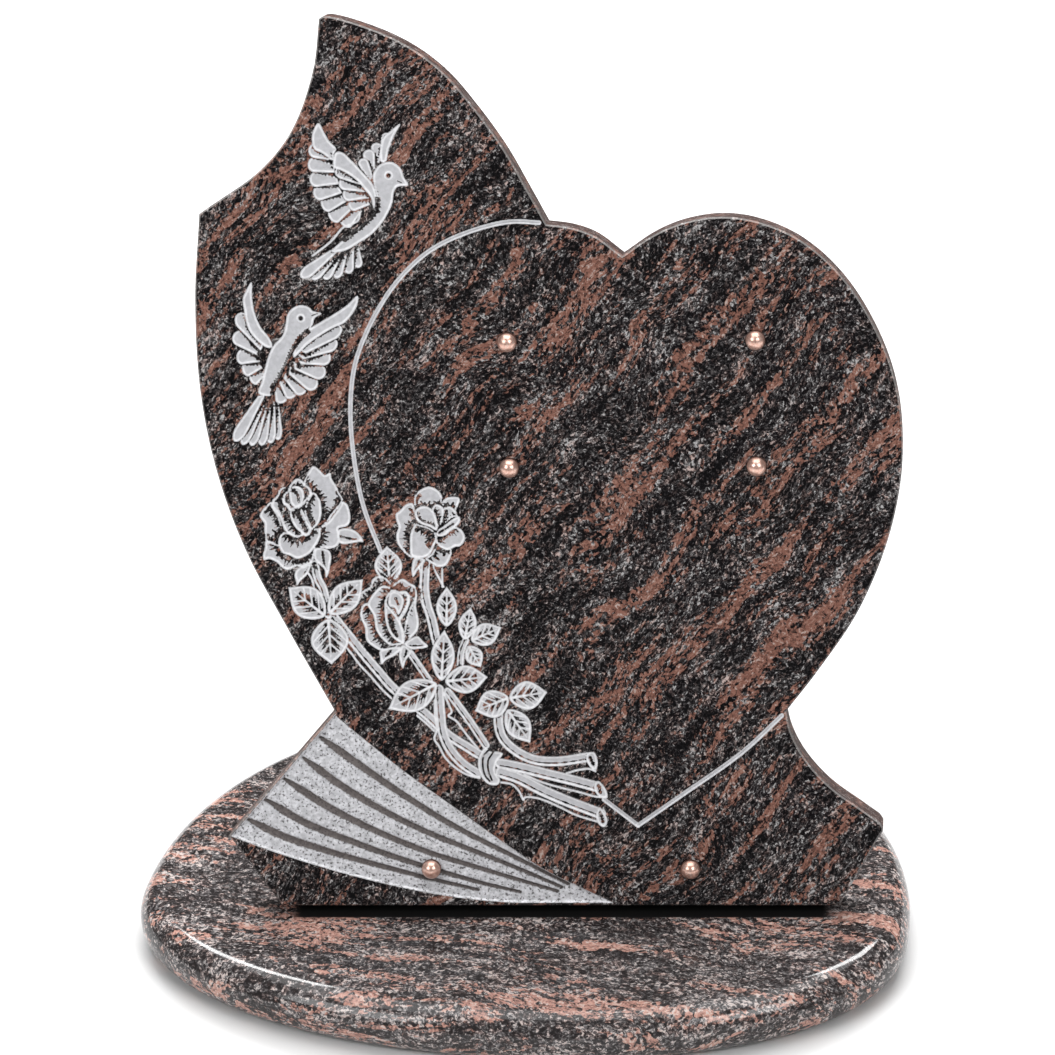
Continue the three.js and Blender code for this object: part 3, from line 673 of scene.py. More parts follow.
cut_ends = [
    [(13.5, 69.5), (16.5, 70), (18, 65.5), (17, 62), (15, 63), (13, 67)],
    [(18, 57), (21.5, 53), (22, 49.5), (19, 49.5), (16.5, 53), (16.5, 55.5)],
    [(18.5, 45), (20.5, 42.5), (22, 39), (20.5, 36), (18, 37.5), (17, 41.5)],
]
knot = [(-32, 72.5), (-35, 68.5), (-35.5, 63), (-33.5, 58), (-30.5, 55.5), (-27, 55.5), (-26, 57.5),
        (-28, 61.5), (-27, 66), (-24.5, 69.5), (-27.5, 70.5), (-30, 70.5)]
knot_bands = [
    [(-30, 72), (-33, 68.5), (-33.5, 64), (-32.5, 59.5), (-30.5, 57)],
    [(-28.5, 70.5), (-31, 66.5), (-31, 61.5), (-29.5, 57.5)],
]
leaf_behind = (-73.5, 147, -74.5, 164, 11)
leaves = [
    (-48.5, 127.5, -48, 145.5, 8.2),
    (-40.5, 121.5, -37.5, 136, 7.2), (-37.5, 121, -24, 127, 9), (-39, 118.5, -33.5, 109, 7),
    (-51.3, 103, -49.5, 126, 9.4), (-53.5, 101.5, -75.5, 90, 12.6), (-49.5, 102.5, -30.5, 104.5, 11.2),
    (-21.3, 95, -36.5, 89, 11.2), (-21, 94.8, -4, 97.5, 11.4), (-22, 89.5, -12, 74.5, 10),
    (-103, 132.5, -119, 145.5, 13), (-101, 133.5, -85.5, 149, 11.2), (-101.5, 131, -100.5, 110.5, 15),
]
sepals = [
    [(-62, 158.5), (-63.5, 153.5), (-63, 150), (-61, 153), (-57.5, 157.5)],
    [(-96, 171), (-93, 172), (-90, 171.5), (-87.5, 170), (-85.5, 167.5), (-85, 166), (-86.5, 166),
     (-90, 165.5), (-93.5, 165), (-96, 166)],
    [(-106.5, 163), (-107, 158.5), (-105, 156), (-102.5, 153.5), (-102, 150), (-101, 151.5), (-100, 156),
     (-99.5, 159.5), (-100.5, 162)],
    [(-108.5, 156), (-112, 155), (-115, 153.5), (-116, 151), (-115.5, 148.5), (-115, 146.5), (-114, 148),
     (-112.5, 149.5), (-110, 152), (-109, 154.5)],
    [(-78.5, 116.5), (-78.5, 113.5), (-78, 110.5), (-76, 112.5), (-72, 114.5), (-68.5, 118)],
    [(-68.5, 119), (-70, 114.5), (-69.5, 111.5), (-68.5, 108.5), (-67, 112.5), (-64.5, 116)],
    [(-67.5, 119.5), (-64.5, 122), (-61.5, 123), (-59.5, 121), (-57, 118.5), (-61, 117.5), (-65, 117.5)],
]
for path, width in stems:
    stem(path, width)
for path in stem_lines:
    line(path, 0.8)
for outline in cut_ends:
    shape(outline, 0.6)
    middle = np.mean(outline, axis=0)
    hollow(outline, [middle + 0.4 * (outline[0] - middle), middle + 0.4 * (outline[3] - middle)], 1.3)
shape(knot, 0.8)
for path in knot_bands:
    line(path, 1.0, 0.0, 0.2)
leaf(leaf_behind)

# The roses: petals from the back to the front, each over its own shadow
rose_left = {
    "top_right": [(-111, 193), (-109, 197), (-106.5, 200), (-104, 198.5), (-101.5, 196), (-99, 197),
                  (-98.5, 194.5), (-96.5, 191), (-95, 188), (-93.5, 185), (-95, 182), (-98, 178.5),
                  (-100.5, 175), (-104, 172), (-108, 171), (-109, 179), (-110.5, 185.5), (-110.5, 189.5)],
    "right": [(-94, 184), (-92, 183), (-91, 180.5), (-90.5, 177.5), (-91, 174.5), (-92.5, 173), (-96, 172),
              (-95.5, 169.5), (-95.5, 166.5), (-97, 164), (-100, 163), (-102.5, 163), (-105.5, 164),
              (-106, 168.5), (-104.5, 172), (-100.5, 175), (-97.5, 178.5), (-95, 182)],
    "left": [(-125.5, 184.5), (-128, 182.5), (-131, 178), (-130, 176), (-129, 174.5), (-129, 171),
             (-128.5, 166.5), (-126.5, 165.5), (-123, 165), (-119.5, 166.5), (-120, 170.5), (-121.5, 175),
             (-123, 179), (-125, 182)],
    "low_left": [(-128.5, 166.5), (-129, 163.5), (-130, 160), (-129.5, 158), (-127.5, 158.5), (-124, 157),
                 (-121.5, 154.5), (-119.5, 153.5), (-117.5, 154), (-115, 155), (-113, 154.5),
                 (-110, 155.5), (-108, 157), (-107, 160), (-106.5, 163.5), (-109.5, 165.5),
                 (-114.5, 165.5), (-120, 165.5), (-123, 165)],
    "low": [(-120, 170.5), (-122, 169), (-123, 166), (-122.5, 163.5), (-121, 161), (-118, 160),
            (-115, 158.5), (-112.5, 159), (-109, 161), (-107, 163.5), (-105, 166.5), (-104, 169.5),
            (-104.5, 172), (-107, 172), (-109.5, 170), (-114, 169.5), (-117, 170)],
    "inner_left": [(-117.5, 190.5), (-120, 191), (-122, 189.5), (-123, 187), (-125, 185), (-125.5, 182),
                   (-123.5, 179.5), (-121.5, 175.5), (-120, 171.5), (-118, 169.5), (-115, 168),
                   (-112, 169), (-112.5, 172), (-116, 179), (-117.5, 186)],
    "inner_right": [(-107.5, 188.5), (-106, 188), (-104, 185), (-103.5, 182), (-103.5, 178.5),
                    (-104.5, 175), (-106, 173), (-108, 171.5), (-109.5, 174.5), (-111, 179),
                    (-110.5, 182.5), (-109.5, 185), (-108, 187.5)],
    "middle": [(-117.5, 180.5), (-117, 176.5), (-115.5, 173), (-113, 170.5), (-110.5, 168.5),
               (-108, 171.5), (-109.5, 174.5), (-111, 178.5), (-113, 182), (-115, 181)],
    "bud": [(-117.5, 191), (-116, 193), (-114, 194.5), (-112, 194), (-110.5, 192), (-108.5, 190.5),
            (-107.5, 188.5), (-108.5, 186), (-110, 184.5), (-111.5, 182.5), (-113, 181.5), (-115, 181),
            (-117.5, 180.5), (-118.5, 182.5), (-120, 183), (-120.5, 185), (-120, 187.5), (-118, 189.5)],
    "bud_heart": [(-117.5, 190), (-116, 191), (-113.5, 191), (-111.5, 189.5), (-111, 187.5), (-111, 185),
                  (-112.5, 182.5), (-115, 181.5), (-117, 183.5), (-117.5, 186.5)],
}
rose_high = {
    "top": [(-62, 183.5), (-61.5, 186.5), (-59, 189), (-55, 190.5), (-51.5, 189), (-49.5, 186.5),
            (-49.5, 183), (-50.5, 180.5), (-53, 180), (-56, 180), (-59.5, 180), (-61, 180)],
    "top_right": [(-49.5, 183), (-47, 185.5), (-42, 185.5), (-41.5, 184.5), (-43, 180), (-42.5, 178.5),
                  (-45, 179), (-48, 180)],
    "left": [(-62.5, 183), (-65.5, 182.5), (-68.5, 179.5), (-70, 178.5), (-70, 176), (-69, 172.5),
             (-70, 169), (-69.5, 165), (-67.5, 162), (-64.5, 159), (-61.5, 158.5), (-60, 161.5),
             (-60.5, 167.5), (-60, 172), (-61.5, 174), (-61.5, 179)],
    "low_right": [(-45.5, 162.5), (-46.5, 158), (-48.5, 155), (-52, 154.5), (-54.5, 156), (-57.5, 158),
                  (-54.5, 160.5), (-52, 164.5), (-49, 163.5)],
    "right": [(-43.5, 172.5), (-41, 171), (-39.5, 167.5), (-41.5, 164), (-44, 163.5), (-47.5, 162),
              (-50.5, 163.5), (-52.5, 165.5), (-52, 168.5), (-48.5, 169.5), (-46, 171.5)],
    "front": [(-61, 174), (-63.5, 170), (-64, 164), (-63.5, 159.5), (-59, 158.5), (-55.5, 160),
              (-53.5, 163.5), (-52, 167.5), (-53, 170.5), (-56, 172.5), (-59.5, 173.5)],
    "fold_right": [(-49, 180.5), (-46, 181.5), (-43.5, 179.5), (-42.5, 177), (-45, 176.5),
                   (-48.5, 173.5), (-51, 171.5), (-50.5, 176.5)],
    "fold_mid": [(-54, 180.5), (-52, 182.5), (-49, 181), (-49, 176.5), (-51, 171.5), (-53, 175.5)],
    "roll": [(-52, 170.5), (-48.5, 173), (-44.5, 176), (-42, 177), (-41.5, 175), (-43.5, 172.5),
             (-46.5, 170.5), (-49, 168.5), (-52, 168.5)],
    "inner": [(-61.5, 179.5), (-59, 181.5), (-56, 181.5), (-53.5, 179.5), (-52, 176), (-52, 171),
              (-55, 172.5), (-59, 174), (-61, 176)],
}
rose_low = {
    "back_left": [(-86.5, 143), (-82.5, 145.5), (-81, 149), (-77.5, 150.5), (-74, 148.5), (-72.5, 145.5),
                  (-75.5, 142), (-79.5, 140.5), (-83, 138), (-85.5, 137.5)],
    "back_right": [(-72.5, 145.5), (-70, 148), (-67.5, 149), (-64.5, 147), (-62.5, 146), (-61.5, 144),
                   (-62, 138.5), (-64, 140), (-66.5, 142), (-70.5, 143.5)],
    "left": [(-83.5, 138), (-86, 137), (-87, 132.5), (-85, 127), (-84.5, 121.5), (-81.5, 118.5),
             (-77, 116.5), (-71, 118), (-68, 120), (-73.5, 122.5), (-77, 126), (-79, 132)],
    "right": [(-61.5, 142), (-62, 136.5), (-61, 130.5), (-61.5, 126), (-64.5, 122.5), (-67.5, 120),
              (-67.5, 126), (-66, 133), (-63.5, 138.5)],
    "inner_left": [(-72.5, 144.5), (-76.5, 146), (-80.5, 143), (-83.5, 137.5), (-81, 132.5), (-80, 126),
                   (-77, 121.5), (-73.5, 119), (-68, 120), (-71.5, 123), (-73.5, 128), (-74.5, 133.5),
                   (-74, 140.5)],
    "heart": [(-75.5, 140.5), (-73, 144), (-70.5, 144), (-68.5, 143), (-66, 143), (-65, 140.5),
              (-66, 136), (-69, 131), (-68, 125), (-68, 120), (-72, 122), (-75, 127), (-76, 133.5)],
    "bud": [(-74, 141), (-73, 143), (-70, 143), (-67.5, 140), (-68, 136.5), (-70, 133), (-71.5, 136),
            (-74, 137)],
}
for rose, share in ((rose_left, 0.38), (rose_high, 0.42), (rose_low, 0.3)):
    for outline in rose.values():
        width, height = np.ptp(np.array(outline), axis=0)
        shape(outline, min(6, share * math.sqrt(width * height)))
for outline in sepals:
    shape(outline)
    root = (np.array(outline[0]) + outline[-1]) / 2
    tip = max(outline, key=lambda point: math.dist(point, root))
    hollow(outline, [root, root + 0.75 * (np.array(tip) - root)], 1.1)
for row in leaves:
    leaf(row)
hollow(rose_high["front"], [(-60, 172.5), (-57, 171.5), (-54.5, 169), (-54, 165.5)], 4.5, 2.0)
hollow(rose_high["inner"], [(-60.5, 178), (-59.5, 175.5), (-56, 173.8), (-53, 172.8)], 2.2)
hollow(rose_high["roll"], [(-50.5, 170.2), (-47, 172.2), (-44.5, 173.8)], 0.9)
hollow(rose_high["fold_right"], [(-47.5, 179), (-48.5, 176)], 1.1)
hollow(rose_low["heart"], [(-73.5, 131), (-73, 126.5), (-71.5, 123.5)], 2.6)
hollow(rose_low["bud"], [(-71, 140), (-70, 137.5)], 1.0)
hollow(rose_left["bud_heart"], [(-115.5, 189), (-113.8, 187), (-113.5, 184)], 1.3)
hollow(rose_left["bud"], [(-118.8, 184.5), (-118.8, 188), (-116.5, 191.5)], 1.5)
hollow(rose_left["bud"], [(-110, 190), (-109.6, 187), (-111, 184.5)], 1.4)
hollow(rose_left["middle"], [(-114.5, 179.5), (-112, 174.5), (-110.5, 171)], 2.0)
hollow(rose_left["inner_right"], [(-110, 184), (-110, 179), (-108.3, 174.5)], 3.4, 1.6)
hollow(rose_left["inner_left"], [(-121, 187.5), (-122, 182.5), (-119.5, 176.5)], 1.4)
line([(-75.5, 137.5), (-72, 133), (-69.5, 129), (-68, 125), (-68, 120)], 0.8)
line([(-69, 143), (-66.5, 143), (-65, 140.5), (-66, 136), (-69, 131)], 0.8)
line([(-120.5, 185.5), (-120, 183.5), (-118.5, 182), (-117.5, 180.5)], 0.7)

# The two doves: tail and wing feathers first, then each body, its eye and its beak
dove_high = {
    "far_wing": [(-73, 335, -69.8, 348, 3.4), (-75, 334, -75, 343.5, 3.2),
                 (-77, 331, -79, 340.5, 3.4), (-77.5, 327.5, -82, 336.5, 3)],
    "far_primary": [(-64.4, 351.8), (-66.3, 348.4), (-68.3, 344.5), (-69.8, 340.6), (-71.3, 335.1),
                    (-73.2, 335.2), (-73.6, 338.7), (-73.1, 342.6), (-72, 345.8), (-68.7, 348.6)],
    "tail": [(-93.5, 297, -110, 284.5, 4.4), (-92.5, 296.5, -105, 283.5, 3.8),
             (-91.5, 296.5, -99.5, 283.5, 3.8), (-89.5, 297, -94.5, 284, 3.8),
             (-87, 297.5, -89, 286, 3.8), (-85, 299, -84.3, 288.5, 3.4)],
    "wing": [(-83, 314.5, -91, 307.5, 4.2), (-87, 316, -96.5, 310.5, 4.6), (-89, 319.5, -100, 316, 4.6),
             (-91, 323, -103.5, 321.5, 4.4), (-92, 327, -105, 328, 4.4), (-93, 332, -105.5, 335, 4.4),
             (-92, 337, -105, 341.5, 4.4)],
    "coverts": [(-78, 317.8, -88, 316, 3.6), (-79, 320.5, -90.5, 321, 3.8), (-79.5, 323, -92, 326.5, 3.8),
                (-80, 325.5, -93.5, 332.2, 3.8)],
    "primary": [(-100.5, 352.5), (-103, 348.5), (-103.5, 345), (-102.5, 341), (-99.5, 339.5), (-96, 337),
                (-94, 336), (-94, 338.5), (-93, 341), (-96, 344.5), (-98, 348)],
    "arm": [(-93, 339.5), (-94, 337.5), (-94, 333), (-90.5, 331.5), (-84.5, 327.5), (-81, 323.5),
            (-78, 319.5), (-76.5, 314), (-75.5, 314), (-75.5, 319.5), (-77, 325), (-81.5, 330.5),
            (-86.5, 336), (-90.5, 339.5)],
    "body": [(-76.9, 326.3), (-76.6, 330.3), (-73.5, 334), (-68.7, 335), (-64.7, 332.2), (-63.3, 328.2),
             (-61.5, 324.8), (-66.2, 324.2), (-67.8, 322.1), (-68.8, 316.8), (-72.7, 309.4),
             (-78.2, 303.3), (-84.4, 299.3), (-89.9, 296.3), (-96, 295.7), (-89.1, 302.1), (-85, 305.4),
             (-80.5, 308.8), (-76.5, 312.5), (-75.3, 318)],
    "belly": [(-75.5, 318), (-76.5, 313), (-80.5, 308.5), (-85, 305), (-90, 301)],
    "eye": (-70.1, 329.1),
    "mouth": [(-66.3, 326.7), (-64.2, 325.8)],
}
dove_low = {
    "tail": [(-128, 233, -141.5, 211.5, 4.6), (-127, 232, -138, 210, 4), (-126, 232, -134, 209.5, 4),
             (-125.2, 232, -129.5, 209.5, 4), (-124, 232, -125.5, 210.5, 4),
             (-122.5, 231.5, -122, 212, 3.6)],
    "far_wing": [(-127.5, 242, -133.5, 238.5, 3.6), (-128.5, 245.5, -137, 243, 4),
                 (-129, 248.5, -139.5, 249.5, 4.4), (-129, 251, -140.5, 259.5, 4.6),
                 (-127.5, 253, -138.5, 268.5, 4.8)],
    "far_primary": [(-132, 282.5), (-134.5, 278.5), (-136, 275), (-135.5, 270), (-135, 266), (-133.5, 261),
                    (-130, 256.5), (-126, 253.5), (-123.5, 253.5), (-124, 256), (-125, 258),
                    (-128.5, 262.5), (-131, 269), (-132, 276)],
    "wing": [(-122, 236.5, -119.5, 228.5, 3.4), (-120, 239, -114.5, 231, 3.8),
             (-118.5, 241.5, -109.5, 233, 4.2), (-116.5, 243.5, -104, 235.5, 4.4),
             (-114.5, 245.5, -100, 241.5, 4.6), (-112.5, 247.5, -97.5, 249, 4.6),
             (-112, 249, -94.5, 256, 4.6), (-111, 251, -92.5, 262.5, 4.4)],
    "primary": [(-85, 276), (-89.5, 272), (-95.5, 268), (-101.5, 264.5), (-107.5, 261), (-112, 257),
                (-114, 252), (-114, 249), (-110.5, 252), (-107.5, 255), (-103, 258), (-96, 262),
                (-91.5, 264), (-88, 267.5), (-85, 273)],
    "body": [(-123.1, 253.8), (-118.5, 259), (-117.1, 264), (-116.3, 268), (-113.7, 270.9), (-110.2, 272),
             (-106.8, 271.1), (-105.1, 269.4), (-101.3, 268.3), (-104.4, 266.4), (-105.2, 263.4),
             (-106.5, 260.9), (-109.5, 258), (-112.1, 255), (-114.7, 252), (-116.8, 247.5),
             (-119.9, 242), (-122.5, 237), (-124.5, 232), (-130.1, 233), (-128.5, 238.2),
             (-126.9, 244.2), (-125, 250.1)],
    "belly": [(-108, 259.5), (-112, 256), (-115, 250.5), (-117.5, 245.5), (-121, 239.5), (-124, 233)],
    "eye": (-110.5, 266.3),
    "mouth": [(-105.6, 267.4), (-102.9, 268.3)],
}


def eye(centre):
    """A dark pupil in a white ring."""
    spot = np.array(centre)
    place, distance, _ = face.near(np.array([spot, spot + (0.01, 0)]), 3)
    face.lay(place, soft(1.9 - distance), WHITE, 0.3)
    face.lay(place, soft(1.15 - distance), 0.0, 0.1)


for dove in (dove_high, dove_low):
    for row in dove["tail"][::-1]:
        feather(row, 1.15)
    for row in dove["far_wing"]:
        feather(row)
    if "far_primary" in dove:
        shape(dove["far_primary"], 1.6)
    shape(dove["body"], 1.2)
    for row in dove["wing"]:
        feather(row)
    shape(dove["primary"], 1.6)
    for row in dove.get("coverts", []):
        feather(row)
    if "arm" in dove:
        shape(dove["arm"], 2.4)
    hollow(dove["body"], dove["belly"], 2.1, rim=-1)
    eye(dove["eye"])
    line(dove["mouth"], 0.6, 0.0, 0.1)
line([(-83, 312.5), (-84, 309.5), (-86.5, 308), (-90.5, 306.5), (-96, 300.5), (-104.5, 294)], 0.7)

# The heart's line: a groove with white shoulders
heart_line_left = [(-4, 307.6), (-16, 308.2), (-28.8, 305.8), (-45.2, 299.8), (-56, 293.2), (-66.9, 282.7),
                   (-74.6, 272.1), (-81.6, 259.3), (-86.8, 245.5), (-89.2, 228.6), (-88.6, 207.1),
                   (-84.7, 182.8), (-77.3, 161.6)]
heart_line_right = [(20.6, 48.6), (35.7, 36.7), (54.6, 49.9), (82.6, 69.9), (100.5, 86.6)]


def heart_groove(path):
    smooth = curve_through(path, 12 * len(path)) if len(path) > 2 else np.array(path, float)
    place, distance, _ = face.near(smooth, 3)
    half = HEART_GROOVE_WIDTH / 2
    level = WHITE - 0.5 * soft(0.3 * half - distance)
    face.lay(place, soft(half - distance), level, HEART_GROOVE_DEPTH * np.clip(1 - distance / half, 0, 1))


heart_groove(heart_line_left)
heart_groove(heart_line_right[:2])
heart_groove(heart_line_right[1:])

# The fan: a frosted panel let into the face, with flutes that widen to the left. The flutes' floors
# are painted dark grey: painted shade in the grooves.
fan_top = [(-100.3, 88.7), (-98.5, 86.5), (-80, 70.7), (-69, 61.6), (-47.3, 45.5), (-30.4, 33),
           (-8.2, 17.4), (5.6, 10.1), (19, 3.7), (24, 1.2)]
fan_bottom = [(-19, 1.2), (-36.9, 2.6), (-59.3, 5.9), (-92.6, 13.6), (-126.3, 24), (-148.9, 32.4)]
flutes = [
    [(-106.5, 77), (-91.4, 65.8), (-69.2, 50.1), (-47.4, 36.3), (-17.6, 20.7), (4, 9.6)],
    [(-114.5, 67.6), (-97.5, 54.7), (-80.6, 44.2), (-58.8, 33.1), (-36.4, 23.9), (-17.6, 16.2), (1, 8)],
    [(-123.2, 58), (-103.2, 44.7), (-80.9, 33.2), (-59, 24.1), (-36.6, 17), (-17.7, 11.2), (-1, 6.2)],
    [(-132, 48.5), (-114.7, 37.9), (-92.3, 28.6), (-69.9, 20.5), (-36.7, 10.4), (-17.8, 5.8)],
    [(-140, 39.4), (-126.1, 32.2), (-103.7, 24.4), (-81.2, 18), (-59.2, 12.2), (-36.7, 6.8)],
]
panel = np.vstack([curve_through(fan_top, 60), curve_through(fan_bottom, 60)])
place, inside, _ = face.within(panel, 5)
face.fan[place] = soft(inside)
panel_frost = SILVER + (WHITE - SILVER) * soft(RIM_WIDTH - inside)
face.lay(place, soft(inside), panel_frost, FAN_DEPTH * np.clip(inside / 0.5, 0, 1))
for path in flutes:
    smooth = curve_through(path, 12 * len(path))
    place, distance, along = face.near(smooth, FLUTE_WIDE)
    share = along / along.max()
    blunt = np.minimum(1, 0.35 + 9 * share)
    half = blunt * (FLUTE_WIDE + (FLUTE_NARROW - FLUTE_WIDE) * share) / 2
    ragged = half * (0.66 + 0.16 * teeth(along, 1.4, next(seeds)))
    dip = FLUTE_DEPTH * np.clip(1 - (distance / half) ** 2, 0, 1)
    cut = dip > 0
    face.depth[place][cut] += dip[cut]
    # Painted shade: the frost is taken off the flutes' floors, which the fan's colours then paint dark
    # grey
    face.frost[place] *= 1 - 0.9 * soft(ragged - distance, 0.8)

# The mesh: points stand close only where the frost or the depth changes. Each pace is twice the one
# before it and reaches this many rows and columns from such detail; the last covers the whole face.
FROST_CHANGE = 0.06
DEPTH_BEND = 0.035
EDGE_FADE = 0.9
REACHES = (0, 2, 8, 22, None)
front_edge = inset(slab_outline, SLAB_CHAMFER + FLAT_STRIP)
place, inside, _ = face.within(front_edge, 2)
on_face = np.zeros(face.x.shape, bool)
on_face[place] = inside > 0.5 * GRID_STEP
fade = np.zeros(face.x.shape)
fade[place] = np.clip(inside / EDGE_FADE, 0, 1)
face.depth *= fade


def unevenness(values):
    """How much a value varies among each point and its neighbours."""
    high, low = values.copy(), values.copy()
    for axis in (0, 1):
        for shift in (-1, 1):
            high = np.maximum(high, np.roll(values, shift, axis))
            low = np.minimum(low, np.roll(values, shift, axis))
    return high - low


def spread(mask, reach):
    """True wherever a true point lies within a reach in rows and columns."""
    for axis in (0, 1):
        grown = mask.copy()
        for shift in range(1, reach + 1):
            grown |= np.roll(mask, shift, axis) | np.roll(mask, -shift, axis)
        mask = grown
    return mask


bend = np.abs(np.roll(face.depth, 1, 1) + np.roll(face.depth, -1, 1) - 2 * face.depth)
bend += np.abs(np.roll(face.depth, 2, 0) + np.roll(face.depth, -2, 0) - 2 * face.depth)
detail = (unevenness(face.frost) > FROST_CHANGE) | (bend > DEPTH_BEND)
row, column = np.mgrid[0:face.x.shape[0], 0:face.x.shape[1]]
chosen = np.zeros(face.x.shape, bool)
for level, reach in enumerate(REACHES):
    pace = 2 ** level
    shift = np.where(row // pace % 2 == 1, pace // 2, 0)
    pattern = (row % pace == 0) & ((column - shift) % pace == 0)
    chosen |= pattern if reach is None else pattern & spread(detail, reach)
chosen &= on_face

spots = np.column_stack([face.x[chosen], face.y[chosen]])
edge_count = len(front_edge)
flat_points = [Vector(point) for point in np.vstack([front_edge, spots]).tolist()]
loop = [(i, (i + 1) % edge_count) for i in range(edge_count)]
found, _, triangles, *_ = delaunay_2d_cdt(flat_points, loop, [], 1, 1e-5, False)
heights = np.concatenate([np.zeros(edge_count), -face.depth[chosen]])


def at_edge(values):
    """The value of the grid point nearest to each point of the edge."""
    edge_row = np.rint((front_edge[:, 1] - face.low[1]) / face.rise).astype(int)
    edge_column = np.rint((front_edge[:, 0] - face.low[0]) / face.step - 0.5 * (edge_row % 2)).astype(int)
    return values[edge_row, edge_column]


frosts = np.concatenate([at_edge(face.frost), face.frost[chosen]])
fans = np.concatenate([at_edge(face.fan), face.fan[chosen]])
front = np.column_stack([np.array([tuple(point) for point in found]), SLAB_THICKNESS + heights])


def inside_edge(corners):
    """Whether a triangle between points of the edge lies inside the edge."""
    x, y = front[list(corners), :2].mean(0)
    start, end = front_edge, np.roll(front_edge, -1, axis=0)
    crossing = (start[:, 1] > y) != (end[:, 1] > y)
    rise = np.where(crossing, end[:, 1] - start[:, 1], 1)
    meeting = start[:, 0] + (y - start[:, 1]) * (end[:, 0] - start[:, 0]) / rise
    return np.count_nonzero(crossing & (x < meeting)) % 2 == 1


triangles = [corners for corners in triangles if max(corners) >= edge_count or inside_edge(corners)]

rings = [(SLAB_CHAMFER, SLAB_THICKNESS), (0, SLAB_THICKNESS - SLAB_CHAMFER),
         (0, SLAB_REAR_CHAMFER), (SLAB_REAR_CHAMFER, 0)]
slab_points = [front]
for distance, level in rings:
    ring = inset(slab_outline, distance)
    slab_points.append(np.column_stack([ring, np.full(len(ring), level)]))
slab_points = np.vstack(slab_points)
slab_faces = [tuple(face_points) for face_points in triangles]
starts = [0] + [len(front) + edge_count * number for number in range(len(rings))]
for upper, lower in zip(starts[:-1], starts[1:]):
    for side in range(edge_count):
        after = (side + 1) % edge_count
        slab_faces.append((upper + side, lower + side, lower + after, upper + after))
slab_faces.append(tuple(starts[-1] + side for side in reversed(range(edge_count))))
lean_sine, lean_cosine = math.sin(SLAB_LEAN), math.cos(SLAB_LEAN)
slab_frame = np.array([(1, 0, 0), (0, lean_sine, lean_cosine), (0, -lean_cosine, lean_sine)])
slab_foot = np.array([SLAB_RIGHT_OF_CENTRE, SLAB_BEHIND_CENTRE, BASE_THICKNESS + SEAT_GAP])


def on_slab(points):
    """Places in the slab's own frame, in millimetres, as places in the room in metres."""
    return (np.asarray(points) @ slab_frame + slab_foot) * MM


slab = mesh_piece("granite_slab", on_slab(slab_points), slab_faces)
slab.data.set_sharp_from_angle(angle=math.radians(35))
rest = len(slab_points) - len(front)
for name, values in (("frost", frosts), ("fan", fans)):
    layer = slab.data.attributes.new(name, "FLOAT", "POINT")
    layer.data.foreach_set("value", np.concatenate([values, np.zeros(rest)]))

# The strip along the face's edge is honed, and painted lighter where the edge faces up: a painted
# highlight along the slab's upper edges
arris = slab.data.attributes.new("arris", "FLOAT", "FACE")
arris_honing_and_highlight_faces = np.zeros(len(slab_faces))
arris_first = len(triangles) + edge_count
outward = np.roll(slab_outline, -1, axis=0) - slab_outline
arris_up = -outward[:, 0] / np.linalg.norm(outward, axis=1)
arris_honing_and_highlight_faces[arris_first:arris_first + edge_count] = np.clip(0.85 + arris_up, 0, 1)
arris.data.foreach_set("value", arris_honing_and_highlight_faces)
matt_faces = np.zeros(len(slab_faces), np.int32)
matt_faces[arris_first + edge_count:] = 1
slab.data.polygons.foreach_set("material_index", matt_faces)

flow = np.array((math.cos(SLAB_DRIFT), math.sin(SLAB_DRIFT), 0)) @ slab_frame
across = np.array((-math.sin(SLAB_DRIFT), math.cos(SLAB_DRIFT), 0)) @ slab_frame
slab_granite, tree, shader = new_material("slab_granite")
slab_axes = (tuple(flow), tuple(across), tuple(slab_frame[2]))
stone, _ = granite_colour(tree, slab_axes, light=0.6)


def attribute(tree, name):
    """A value that the mesh carries at its points or on its faces."""
    settings = {"attribute_type": "GEOMETRY", "attribute_name": name}
    return add_node(tree, "ShaderNodeAttribute", settings, {}, 2)


frost = attribute(tree, "frost")
fan = attribute(tree, "fan")
place = add_node(tree, "ShaderNodeTexCoord", output=3)
pits = noise(place, 950.0, 2.0)
cloud = noise(place, 420.0, 3.0)
on_fan = fan.over(0.3, 0.7)
covered = on_fan.at_least((frost + pits * 0.12).over(0.22, 0.5))
silver = colour_ramp(frost, [
    (0.00, (190, 190, 193)), (0.60, (186, 186, 189)), (SILVER, (180, 180, 184)),
    (0.92, (214, 214, 217)), (WHITE, (217, 217, 220))])
# On the fan, low frost is painted dark grey: painted shade in the flutes
fan_frost_and_groove_shade = colour_ramp(frost + (pits - 0.5) * 0.7, [
    (0.00, (96, 89, 88)), (0.34, (104, 98, 96)), (0.50, (168, 168, 171)),
    (SILVER, (188, 188, 192)), (WHITE, (216, 216, 219))])
shade = mix_colour(on_fan, silver, fan_frost_and_groove_shade)
clouds = mix_colour(cloud.over(0.35, 0.65), (0.82, 0.82, 0.82), (1.14, 1.14, 1.14))
shade = mix_colour(on_fan * 0.55 + 0.45, shade, clouds, "MULTIPLY")
speck = (0.40 - pits).over(0.0, 0.03)
shade = mix_colour(speck * (on_fan * 0.75 + 0.08), shade, screen(64, 60, 60))
# Painted highlight: the edge strip is mixed towards near white, the more the higher it faces; it is also
# made rougher
honed_and_highlight = attribute(tree, "arris")
stone = mix_colour(honed_and_highlight * 0.2, stone, screen(222, 216, 212))
feed(shader, "Base Color", mix_colour(covered, stone, shade))
feed(shader, "Roughness", covered.at_least(honed_and_highlight) * 0.55 + 0.1)
shader.inputs["Specular IOR Level"].default_value = 0.34

